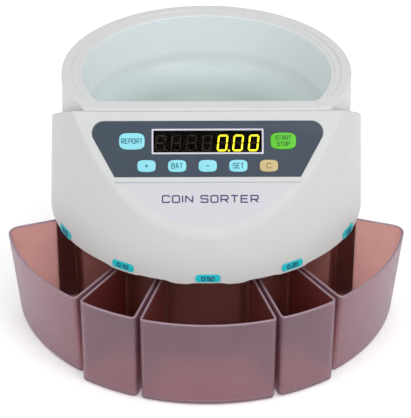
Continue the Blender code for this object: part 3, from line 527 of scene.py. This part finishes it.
def cover_top(angle, radius, inset=0.0):
    """Height of the cover's top surface, or of the surface this far under it."""
    y = polar(angle, radius)[1]
    console = RIDGE_Z + (y - RIDGE_Y) * math.tan(CONSOLE_SLOPE) - inset / math.cos(CONSOLE_SLOPE)
    back = RIDGE_Z - (y - RIDGE_Y) * math.tan(BACK_SLOPE) - inset / math.cos(BACK_SLOPE)
    return smooth_min(console, smooth_max(back, SHOULDER_Z - inset, SHOULDER_ROUND), RIDGE_ROUND)


def edge_drop(angle):
    """How far the cover's scalloped bottom edge hangs down at this angle from the front."""
    turn = abs(math.degrees((angle + math.pi) % math.tau - math.pi))
    return sum(depth * fade(abs(turn - centre), start, end) for depth, centre, start, end in SCALLOPS)


def hopper_radius(z):
    return HOPPER_R + HOPPER_DRAFT * (RIM_Z - z)


def cover_wall(z):
    return COVER_R - COVER_DRAFT * (z - COVER_BOTTOM)


def cover_column(angle):
    """Section of the cover at this angle: lip, wall, top, well for the hopper, shelf and inner walls."""
    def well(z, grow=0.0):
        return flat(angle, hopper_radius(z) + GAP + grow, -RIDGE_Y + grow)

    edge_z = settle(lambda z: cover_top(angle, cover_wall(z)), SHOULDER_Z)
    edge_r = cover_wall(edge_z)
    well_z = settle(lambda z: cover_top(angle, well(z)), SHOULDER_Z)
    well_r = well(well_z)
    shelf = flat(angle, SHELF_R, -RIDGE_Y - SHELF_SETBACK)
    jacket_z = settle(lambda z: cover_top(angle, well(z, WALL), WALL), SHOULDER_Z)
    inner_z = settle(lambda z: cover_top(angle, cover_wall(z) - WALL, WALL), SHOULDER_Z)
    land = [well_r + (edge_r - well_r) * t for t in (0.75, 0.5, 0.25)] + [well_r + 0.0015]
    foot = COVER_BOTTOM - edge_drop(angle)
    return rounded([
        (COVER_R - WALL, foot, LIP_INNER_EDGE), (cover_wall(foot), foot, LIP_OUTER_EDGE),
        (edge_r, edge_z, COVER_ROUND),
        *[(r, cover_top(angle, r), 0) for r in land],
        (well_r, well_z, WELL_EDGE), (well(SEAT_Z), SEAT_Z, 0), (shelf, SEAT_Z, 0), (shelf, SHELF_Z, 0),
        (well(SHELF_Z, WALL), SHELF_Z, 0), (well(jacket_z, WALL), jacket_z, 0),
        (cover_wall(inner_z) - WALL, inner_z, 0),
    ])


def rim_height(radius):
    """Height of the hopper's rim: a raised ring, a level deck and a shallow step inside it."""
    return (RIM_Z - RAISED_RIM_H * fade(radius, RAISED_RIM_R, RAISED_RIM_R + RAISED_RIM_SLOPE)
            - STEP_DROP * fade(radius, STEP_R, STEP_R + STEP_SLOPE))


def hopper_column(angle):
    """Section of the hopper at this angle: skirt, stepped rim, bowl and throat, and their undersides."""
    wall, edge = HOPPER_WALL, RIM_EDGE
    under_rim = DECK_RIM_Z - wall

    def tub(radius, grow=0.0):
        return flat(angle, radius, HOPPER_FRONT + grow)

    def bowl(radius, grow=0.0):
        return flat(angle, radius + grow, BOWL_FRONT + grow, BOWL_CORNER)

    def floor_z(radius):
        share = (radius - THROAT_R) / (BOWL_FLOOR_R - THROAT_R)
        return THROAT_Z + share * (BOWL_FLOOR_Z - THROAT_Z)

    limit = tub(HOPPER_R)
    arc = [(limit - edge * (1 - math.cos(t)), edge * (1 - math.sin(t)))
           for t in (math.pi / 2 * i / 6 for i in range(7))]
    steps = [RAISED_RIM_R + RAISED_RIM_SLOPE * (1 - i / 4) for i in range(5)]
    steps += [STEP_R + STEP_SLOPE * (1 - i / 3) for i in range(4)]
    least = 0.00005     # space kept between points where the flat front cuts the steps off
    land = [min(radius, limit - edge - least * (i + 1)) for i, radius in enumerate(steps)]
    floor_in, floor_out = bowl(BOWL_FLOOR_R), bowl(BOWL_FLOOR_R, wall)
    return rounded([
        (tub(hopper_radius(HOPPER_BOTTOM)), HOPPER_BOTTOM, HOPPER_EDGE),
        *[(radius, rim_height(radius) - drop, 0) for radius, drop in arc],
        *[(radius, rim_height(radius), 0) for radius in land],
        (bowl(MOUTH_R), DECK_RIM_Z - STEP_DROP, MOUTH_ROUND),
        (floor_in, floor_z(floor_in), BOWL_ROUND), (THROAT_R, THROAT_Z, THROAT_ROUND),
        (THROAT_R, THROAT_BOTTOM, HOPPER_EDGE), (THROAT_R + wall, THROAT_BOTTOM, HOPPER_EDGE),
        (THROAT_R + wall, THROAT_Z - 0.0015, THROAT_ROUND / 2),
        (floor_out, floor_z(floor_out - wall) - wall, 0.008), (bowl(MOUTH_R, wall), under_rim, 0),
        (tub(hopper_radius(under_rim) - wall, -wall), under_rim, 0),
        (tub(hopper_radius(HOPPER_BOTTOM) - wall, -wall), HOPPER_BOTTOM, 0),
    ])


def ring_of(column):
    """Body made of one section for each column angle."""
    turns = columns()
    sections = [column(angle) for angle in turns]
    loops = [[(*polar(angle, section[i][0]), section[i][1]) for angle, section in zip(turns, sections)]
             for i in range(len(sections[0]))]
    return sleeve(loops)


def make_cover():
    """Cover with a pocket for the panel, open to the inside but for a ledge round its edge."""
    cover = make("cover_shell", ring_of(cover_column), cover_white)
    carve(cover, prism(panel_outline(-POCKET_GAP), -PANEL_THICK, CUT), CONSOLE)
    carve(cover, prism(panel_outline(POCKET_LEDGE), -2 * CUT, CUT), CONSOLE)
    stands_for(even_normals(cover), "upper_cover")


def make_hopper():
    """Hopper, with a much lighter copy of its white on the faces inside the bowl as painted light, darkening
    towards the bowl's floor as painted shade.
    """
    hopper = make("hopper_tub", ring_of(hopper_column), hopper_white)
    hopper.data.materials.append(bowl_light_and_shade)
    reach, front, top = MOUTH_R + 0.0004, -BOWL_FRONT - 0.001, DECK_RIM_Z - 0.0012
    for face in hopper.data.polygons:
        x, y, z = face.center - AT_AXIS.translation
        inside = math.hypot(x, y) < reach and y > front and z < top
        if inside and face.normal.z > -0.02:
            face.material_index = 1
    stands_for(even_normals(hopper), "hopper_bowl")


def base_outline(inset):
    """Round at the back, stepped in at the front where the cups stand, moved in by inset."""
    rear_r, front_r = DRUM_R - inset, FRONT_DRUM_R - inset
    step = math.radians(STEP_ANGLE)
    rear_start = step + math.asin(inset / rear_r)
    front_end = step + math.asin(inset / front_r)
    rear_steps, front_steps = 150, 130
    rear_turn = math.tau - 2 * rear_start
    rear = [polar(rear_start + rear_turn * i / rear_steps, rear_r) for i in range(rear_steps + 1)]
    front = [polar(-front_end + 2 * front_end * i / front_steps, front_r) for i in range(front_steps + 1)]
    return rear + front


def make_base():
    """Drum with a notch for each chute and a window behind the rear panel."""
    low, high = (corner.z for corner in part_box("base_drum"))
    lip = DRUM_EDGE
    profile = ((lip, low), (0, low + lip), (0, high - lip), (lip, high), (DRUM_WALL - lip, high),
               (DRUM_WALL, high - lip), (DRUM_WALL, low + lip), (DRUM_WALL - lip, low))
    drum = make("base_shell", sleeve([[(x, y, z) for x, y in base_outline(inset)] for inset, z in profile]),
                base_black)
    for centre, *_ in CUPS.values():
        notch = block((-NOTCH_HALF, -FRONT_DRUM_R - CUT, high - NOTCH_DROP),
                      (NOTCH_HALF, -FRONT_DRUM_R + CUT, high + CUT))
        carve(drum, notch, AT_AXIS @ Matrix.Rotation(math.radians(centre), 4, "Z"))
    carve(drum, block(*REAR_OPENING))
    stands_for(even_normals(drum), "base_drum")


def make_feet():
    """Rubber feet with rounded edges, each hollow underneath."""
    hollow_end, tread_start = FOOT_HOLLOW_ENDS
    for number in range(1, 5):
        name = f"rubber_foot_{number}"
        low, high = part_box(name)
        radius, height = (high.x - low.x) / 2, high.z
        profile = [(0, FOOT_HOLLOW), (radius * hollow_end, FOOT_HOLLOW), (radius * tread_start, 0),
                   *[(radius - inset, z) for inset, z in FOOT_EDGE],
                   (radius - FOOT_TAPER, height), (0, height)]
        place = Matrix.Translation((middle(name).x, middle(name).y, 0))
        foot = make(f"foot_{number}", turned(profile, 48), SLOT_MATERIALS["rubber"], place)
        stands_for(foot, name)


# Cups


def cup_outline(half, inner_r, outer_r, inset, front_corner, back_corner, mirrored):
    """Ring sector with rounded corners: the sides run along its radii, moved in by inset."""
    low_corner, high_corner = (back_corner, front_corner) if mirrored else (front_corner, back_corner)
    corner_in = CUP_INNER_CORNER
    points = []

    def corner(side, centre_r, radius, start, end):
        offset = half - math.asin((inset + radius) / centre_r)
        x, y = polar(side * offset, centre_r)
        for i in range(CUP_CORNER_STEPS + 1):
            turn = start + (end - start) * i / CUP_CORNER_STEPS
            points.append((x + radius * math.cos(turn), y + radius * math.sin(turn)))
        return offset

    def arc(start, end, radius):
        steps = round(2 * half / CUP_ARC_STEP)
        points.extend(polar(start + (end - start) * i / steps, radius) for i in range(1, steps))

    quarter = math.pi / 2
    high = corner(1, outer_r - high_corner, high_corner, half - quarter, half)
    inner = corner(1, inner_r + corner_in, corner_in, half, half + quarter)
    arc(inner, -inner, inner_r)
    corner(-1, inner_r + corner_in, corner_in, quarter - half, math.pi - half)
    low = corner(-1, outer_r - low_corner, low_corner, math.pi - half, 3 * quarter - half)
    arc(-low, high, outer_r)
    return points


def make_cup(node):
    """Open cup: frosted outside, clear inside, and denser along its rim."""
    centre, half, front_corner, back_corner, draft = CUPS[node]
    height = CUP_TOP - CUP_BOTTOM
    span = CUP_RIM_R - CUP_INNER_R

    def level(inset, z, rim=0.0):
        """Outline this far inside the outer wall; rim is the share of the rim's rise that it takes."""
        low = 1 - (z - CUP_BOTTOM) / height
        outer = CUP_RIM_R - draft * low - inset
        corners = [max(r - inset, CUP_LEAST_CORNER) for r in (front_corner, back_corner)]
        outline = cup_outline(math.radians(half), CUP_INNER_R + inset, outer,
                              inset + CUP_SIDE_SHARE * draft * low, *corners, centre < 0)
        return [(x, y, z + rim * CUP_RISE * (CUP_RIM_R - math.hypot(x, y)) / span) for x, y in outline]

    def bend(z, radius, steps=4):
        """Inset and height of each loop round a bottom edge, from the floor up the wall."""
        turns = [math.radians(90 + 90 * i / steps) for i in range(steps + 1)]
        return [(radius * (1 - abs(math.cos(turn))), z + radius * (1 - abs(math.sin(turn))))
                for turn in turns]

    floor, lip = CUP_BOTTOM + CUP_WALL, CUP_WALL / 2
    loops = [level(inset, z) for inset, z in bend(CUP_BOTTOM, CUP_FOOT_ROUND)]
    loops += [level(0, CUP_BOTTOM + height * share, share) for share in CUP_WALL_LOOPS]
    rim_start = len(loops)
    for i in range(CUP_RIM_STEPS + 1):
        turn = math.pi * i / CUP_RIM_STEPS
        loops.append(level(lip - lip * math.cos(turn), CUP_TOP - lip + lip * math.sin(turn), 1))
    loops += [level(CUP_WALL, CUP_BOTTOM + height * share, share) for share in reversed(CUP_WALL_LOOPS)]
    loops += [level(CUP_WALL + inset, z) for inset, z in reversed(bend(floor, CUP_FLOOR_ROUND))]
    skin = sleeve(loops, closed=False)
    frosted, clear, rim = range(3)
    for number, face in enumerate(skin.faces):
        row = number // len(loops[0])
        inner = clear if row >= rim_start + CUP_RIM_STEPS else rim
        face.material_index = frosted if row < rim_start else inner
    skin.faces.ensure_lookup_table()
    skin.faces[-2].material_index = frosted
    place = AT_AXIS @ Matrix.Rotation(math.radians(centre), 4, "Z")
    cup = make(f"{node}_shell", skin, cup_frosted, place, 40)
    cup.data.materials.append(cup_clear)
    cup.data.materials.append(cup_rim)
    stands_for(even_normals(cup), node, f"body_{node}")


# Console

# Node, material and slot of each key, its legends (words, height, width and place up the key) and their ink
KEYS = (
    ("key_report", key_blue, "key_blue", (("REPORT", 0.0046, 0.0180, 0),), ink_teal),
    ("key_start_stop", key_green, "key_green",
     (("START", 0.0038, 0.0136, 0.0026), ("STOP", 0.0038, 0.0110, -0.0026)), ink_green),
    ("key_plus", key_blue, "key_blue", (("+", 0.0036, 0.0036, 0),), ink_navy),
    ("key_batch", key_blue, "key_blue", (("BAT", 0.0048, 0.0098, 0),), ink_teal),
    ("key_minus", key_blue, "key_blue", (("-", 0.0036, 0.0036, 0),), ink_teal),
    ("key_set", key_blue, "key_blue", (("SET", 0.0048, 0.0094, 0),), ink_teal),
    ("key_clear", key_sand, "key_sand", (("C", 0.0046, 0.0040, 0),), ink_brown),
)


def panel_outline(inset):
    """Trapezium with rounded upper corners, in the console's frame, moved in by inset."""
    lean = math.atan2(PANEL_TOP_HALF - PANEL_FOOT_HALF, PANEL_FOOT - PANEL_TOP)
    foot, top = -PANEL_FOOT + inset, -PANEL_TOP - inset
    side = inset / math.cos(lean)
    foot_x = PANEL_FOOT_HALF - side + inset * math.tan(lean)
    centre_y = top - PANEL_CORNER
    reach = PANEL_FOOT_HALF - side + (centre_y + PANEL_FOOT) * math.tan(lean)
    centre_x = reach - PANEL_CORNER / math.cos(lean)
    steps = 20
    turns = [-lean + (math.pi / 2 + lean) * i / steps for i in range(steps + 1)]
    right = [(centre_x + PANEL_CORNER * math.cos(t), centre_y + PANEL_CORNER * math.sin(t)) for t in turns]
    return [(foot_x, foot), *right, *[(-x, y) for x, y in reversed(right)], (-foot_x, foot)]


def key_shape(size, grow=0.0, steps=72):
    """Barrel-sided key: a superellipse."""
    points = []
    for i in range(steps):
        turn = math.tau * (i + 0.5) / steps
        c, s = math.cos(turn), math.sin(turn)
        points.append(((size[0] / 2 + grow) * math.copysign(abs(c) ** (2 / KEY_POWER), c),
                       (size[1] / 2 + grow) * math.copysign(abs(s) ** (2 / KEY_POWER), s)))
    return points


def key_place(node):
    """Size of a key's cap, and its place on the console."""
    inverse = CONSOLE.inverted()
    points = [inverse @ v.co for v in frame["nodes"][node].data.vertices]
    low = [min(p[i] for p in points) for i in (0, 1)]
    high = [max(p[i] for p in points) for i in (0, 1)]
    size = [high[i] - low[i] - 2 * KEY_FLANGE for i in (0, 1)]
    return size, ((low[0] + high[0]) / 2, (low[1] + high[1]) / 2)


def key_dome(size, x, y):
    """Height of a key's crowned face."""
    out = (abs(2 * x / size[0]) ** KEY_POWER + abs(2 * y / size[1]) ** KEY_POWER) ** (1 / KEY_POWER)
    return KEY_PROUD - KEY_CROWN * min(out, 1) ** 2


def make_key(node, stuff, slot, legends, ink):
    """Crowned key cap on its flange, and its legends."""
    size, (x, y) = key_place(node)
    place = CONSOLE @ Matrix.Translation((x, y, 0))
    levels = ((KEY_FLANGE, KEY_BOTTOM), (KEY_FLANGE, KEY_FLANGE_TOP), (0, KEY_FLANGE_TOP), (0, KEY_SIDE_TOP))
    rows = [[(px, py, z) for px, py in key_shape(size, grow)] for grow, z in levels]
    for inset, drop in KEY_EDGE:
        outline = key_shape(size, -inset)
        rows.append([(px, py, key_dome(size, px, py) - drop) for px, py in outline])
    for share in (0.85, 0.65, 0.45, 0.25, 0.1):
        outline = [(px * share, py * share) for px, py in key_shape(size)]
        rows.append([(px, py, key_dome(size, px, py)) for px, py in outline])
    key = make(f"{node}_cap", sleeve(rows, closed=False), stuff, place, 50)
    stands_for(key, node, f"body_{node}")
    for number, (words, height, width, offset) in enumerate(legends, 1):
        bm = lettering(words, height, width, KEY_STROKE)
        for vert in bm.verts:
            vert.co.y += offset
            vert.co.z += key_dome(size, vert.co.x, vert.co.y) - LETTER_SINK
        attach(make(f"{node}_legend_{number}", bm, ink, place), f"body_{node}")


def ribbon(bm, points, width, thick):
    """Adds a raised stroke along these points, with mitred corners."""
    path = [Vector(point) for point in points]
    loops = []
    for i, point in enumerate(path):
        ways = [(path[j + 1] - path[j]).normalized() for j in (i - 1, i) if 0 <= j < len(path) - 1]
        way = sum(ways, Vector((0, 0))).normalized()
        across = Vector((-way.y, way.x)) * (width / 2 / max(way.dot(ways[0]), MITRE_LIMIT))
        left, right = point + across, point - across
        loops.append([(*left, 0), (*left, thick), (*right, thick), (*right, 0)])
    sleeve(loops, closed=False, bm=bm)


def lettering(words, height, width, stroke):
    """Thin raised words, centred, this high and wide; each further stroke of a letter is a bit thicker."""
    widths = [GLYPH_WIDTHS.get(letter, 1) for letter in words]
    across = (width - stroke) / (sum(widths) + LETTER_SPACE * (len(words) - 1))
    rise = height - stroke
    x = (stroke - width) / 2
    bm = bmesh.new()
    for letter, share in zip(words, widths):
        for i, path in enumerate(GLYPHS[letter]):
            points = [(x + a * share * across, (b - 0.5) * rise) for a, b in path]
            ribbon(bm, points, stroke, LETTER_THICK * (1 + i / 6))
        x += (share + LETTER_SPACE) * across
    bmesh.ops.subdivide_edges(bm, edges=bm.edges, cuts=3, use_grid_fill=True)
    return bm


def segment(x, y, length, upright):
    """One bar of a digit, with pointed ends."""
    half, tip = length / 2 - SEGMENT_SPLIT, SEGMENT / 2 * 0.9
    outline = [(-half, 0), (-half + tip, -tip), (half - tip, -tip), (half, 0), (half - tip, tip),
               (-half + tip, tip)]
    if upright:
        outline = [(-b, a) for a, b in outline]
    return [(x + a, y + b) for a, b in outline]


def digit_bars(x):
    """Bars of one digit at x, the middle one last, then its point."""
    wide, high = DIGIT_W - SEGMENT, DIGIT_H - SEGMENT
    bars = [segment(x, side * high / 2, wide, False) for side in (-1, 1)]
    bars += [segment(x + across * wide / 2, side * high / 4, high / 2, True)
             for side in (-1, 1) for across in (-1, 1)]
    bars.append(segment(x, 0, wide, False))
    centre, low = x + DIGIT_W / 2 + POINT_SIDE, POINT_RISE - DIGIT_H / 2
    return bars, [(centre + POINT_R * math.cos(t), low + POINT_R * math.sin(t))
                  for t in (math.tau * i / 16 for i in range(16))]


def make_display():
    """Seven places behind a smoked lens: the last three are lit, and the others show faintly."""
    lit, unlit = [], []
    for place in range(DIGITS):
        bars, point = digit_bars((place - (DIGITS - 1) / 2) * DIGIT_PITCH + DIGIT_SHIFT)
        (lit if place >= FIRST_LIT else unlit).extend(bars[:-1])
        unlit.append(bars[-1])
        (lit if place == FIRST_LIT else unlit).append(point)
    for name, outlines, stuff in (("digits_lit", lit, lit_yellow), ("digits_unlit", unlit, segment_off)):
        bm = bmesh.new()
        for outline in outlines:
            prism([(x + DIGIT_LEAN * y, y - DIGIT_DOWN) for x, y in outline], DIGIT_LOW, DIGIT_HIGH, bm)
        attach(make(name, bm, stuff, CONSOLE), "chassis")

    def window(grow, z):
        half_w, half_h = WINDOW_W / 2 + grow, WINDOW_H / 2 + grow
        corners = ((1, 1), (-1, 1), (-1, -1), (1, -1))
        outline = rounded([(sx * half_w, sy * half_h, WINDOW_CORNER) for sx, sy in corners])
        return [(x, y - WINDOW_DOWN, z) for x, y in outline]

    edge, bottom = 0.0001, 0.00005
    trim = sleeve([
        window(FRAME_LAP, PANEL_PROUD), window(FRAME_LAP, FRAME_PROUD - edge),
        window(FRAME_LAP - edge, FRAME_PROUD), window(-FRAME_W + edge, FRAME_PROUD),
        window(-FRAME_W, FRAME_PROUD - edge), window(-FRAME_W, bottom), window(FRAME_LAP, bottom),
    ])
    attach(make("display_trim", trim, silver_line, CONSOLE), "chassis")
    lens = sleeve([window(-GAP, -LENS_THICK), window(-GAP, -edge), window(-GAP - edge, 0)], closed=False)
    stands_for(make("display_window", lens, lens_smoke, CONSOLE), "display_lens")


def make_panel():
    """Dark film with a window for the display and a hole for each key."""
    low, high, edge = PANEL_PROUD - PANEL_THICK, PANEL_PROUD, PANEL_EDGE
    levels = ((0, low), (0, high - edge), (edge, high))
    rows = [[(x, y, z) for x, y in panel_outline(inset)] for inset, z in levels]
    panel = make("panel_face", sleeve(rows, closed=False), film, CONSOLE)
    for node, *_ in KEYS:
        size, (x, y) = key_place(node)
        carve(panel, prism(key_shape(size, GAP), -CUT, CUT), CONSOLE @ Matrix.Translation((x, y, 0)))
    window = block((-WINDOW_W / 2, -WINDOW_DOWN - WINDOW_H / 2, -CUT),
                   (WINDOW_W / 2, -WINDOW_DOWN + WINDOW_H / 2, CUT))
    carve(panel, window, CONSOLE)
    stands_for(panel, "keypad_panel")


def make_label():
    """Thin film under the panel that follows the cover's edge, a dark line along its top edge painted as that
    edge's shade, and the lettering on it.
    """
    run, fall = math.cos(CONSOLE_SLOPE), math.sin(CONSOLE_SLOPE)
    room = cover_wall(RIDGE_Z) - LABEL_INSET + RIDGE_Y
    tip = room / (run - COVER_DRAFT * fall)

    def reach(down):
        radius = cover_wall(RIDGE_Z - down * fall) - LABEL_INSET
        return math.sqrt(max(radius ** 2 - (RIDGE_Y - down * run) ** 2, 0))

    steps = 40
    downs = [tip - (tip - LABEL_TOP) * (1 - i / steps) ** 2 for i in range(steps)]
    right = [(reach(down), -down) for down in downs]
    outline = right + [(0, -tip)] + [(-x, y) for x, y in reversed(right)]
    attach(make("name_label", prism(outline, -LABEL_THICK, LABEL_THICK), label_white, CONSOLE), "chassis")
    # Painted shade: a dark ribbon along the label's top edge stands for the shade line there.
    line = bmesh.new()
    ends = [(-PANEL_FOOT_HALF, -LABEL_TOP), (PANEL_FOOT_HALF, -LABEL_TOP)]
    ribbon(line, ends, LABEL_LINE, LABEL_LINE_PROUD)
    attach(make("label_edge_shade_line", line, label_edge_shade, CONSOLE), "chassis")
    words = lettering("COIN SORTER", NAME_SIZE[1], NAME_SIZE[0], NAME_STROKE)
    words.transform(Matrix.Translation((*NAME_PLACE, LABEL_THICK)))
    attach(make("name_lettering", words, ink_violet, CONSOLE), "chassis")


def make_plates():
    """Number plates curved round the cover's bottom edge."""
    half = PLATE_W / 2
    corners = [(half, PLATE_H / 2), (-half, PLATE_H / 2), (-half, -PLATE_H / 2), (half, -PLATE_H / 2)]

    def bent(x, z, proud):
        height = PLATE_MID_Z + z
        return (*polar(x / COVER_R, cover_wall(height) + proud), height)

    for label, (angle, number) in PLATES.items():
        place = AT_AXIS @ Matrix.Rotation(math.radians(angle), 4, "Z")
        node = f"value_plate_{label}"
        layers = []
        for inset, proud in PLATE_LAYERS:
            outline = rounded([(x - math.copysign(inset, x), z - math.copysign(inset, z), PLATE_CORNER)
                               for x, z in corners], 8)
            layers.append([bent(x, z, proud) for x, z in outline])
        plate = make(f"{node}_face", sleeve(layers, closed=False), plate_cyan, place)
        stands_for(plate, node)
        bm = lettering(number, NUMBER_SIZE[1], NUMBER_SIZE[0], NUMBER_STROKE)
        for vert in bm.verts:
            vert.co = bent(vert.co.x, vert.co.y, PLATE_LAYERS[-1][1] + vert.co.z)
        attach(make(f"{node}_number", bm, ink_navy, place), "chassis")


def dress_cad_nodes():
    """Gives each node that still shows its own finish and softened edges."""
    slots = {part["node"]: part["material_slot"] for part in frame["record"]["subparts"]}
    for node, obj in frame["nodes"].items():
        obj.data.materials.clear()
        obj.data.materials.append(SLOT_MATERIALS[slots[node]])
        if not obj.hide_render:
            bevel = obj.modifiers.new("soft_edges", "BEVEL")
            bevel.width = SOFT_EDGE
            bevel.segments = 2
            bevel.limit_method = "ANGLE"
            bevel.angle_limit = math.radians(50)


# Stage


def make_stage():
    """Pale floor, even white surroundings and three soft lamps."""
    floor_white = plastic("floor_white", FLOOR_WHITE, 0.6, vary=0.005, Emission_Color=(1, 1, 1, 1),
                          Emission_Strength=FLOOR_GLOW)
    bm = bmesh.new()
    bmesh.ops.create_grid(bm, x_segments=1, y_segments=1, size=FLOOR_SIZE)
    floor = make("floor", bm, floor_white, Matrix())
    world = bpy.data.worlds.new("studio")
    bpy.context.scene.world = world
    world.use_nodes = True
    background = world.node_tree.nodes["Background"]
    background.inputs["Color"].default_value = (1, 1, 1, 1)
    background.inputs["Strength"].default_value = SURROUND_GLOW
    for name, place, power in LAMPS:
        lamp = bpy.data.lights.new(name, "AREA")
        lamp.shape = "DISK"
        lamp.size = LAMP_SIZE
        lamp.energy = power
        holder = bpy.data.objects.new(name, lamp)
        holder.location = place
        holder.rotation_euler = (LAMP_TARGET - holder.location).to_track_quat("-Z", "Y").to_euler()
        bpy.context.scene.collection.objects.link(holder)
    bpy.context.scene.view_settings.view_transform = "Standard"


def make_camera():
    run = math.cos(CAMERA_ELEVATION)
    back = Vector((*polar(CAMERA_AZIMUTH, run), math.sin(CAMERA_ELEVATION)))
    lens = bpy.data.cameras.new("camera")
    lens.lens = CAMERA_LENS
    lens.sensor_width = 36
    camera = bpy.data.objects.new("camera", lens)
    camera.location = CAMERA_TARGET + back * CAMERA_DISTANCE
    turn = back.to_track_quat("Z", "Y").to_matrix() @ Matrix.Rotation(CAMERA_ROLL, 3, "Z")
    camera.rotation_euler = turn.to_euler()
    bpy.context.scene.collection.objects.link(camera)
    bpy.context.scene.camera = camera


make_cover()
make_hopper()
make_base()
make_feet()
for cup_node in CUPS:
    make_cup(cup_node)
make_panel()
make_label()
for key in KEYS:
    make_key(*key)
make_display()
make_plates()
dress_cad_nodes()
make_stage()
make_camera()
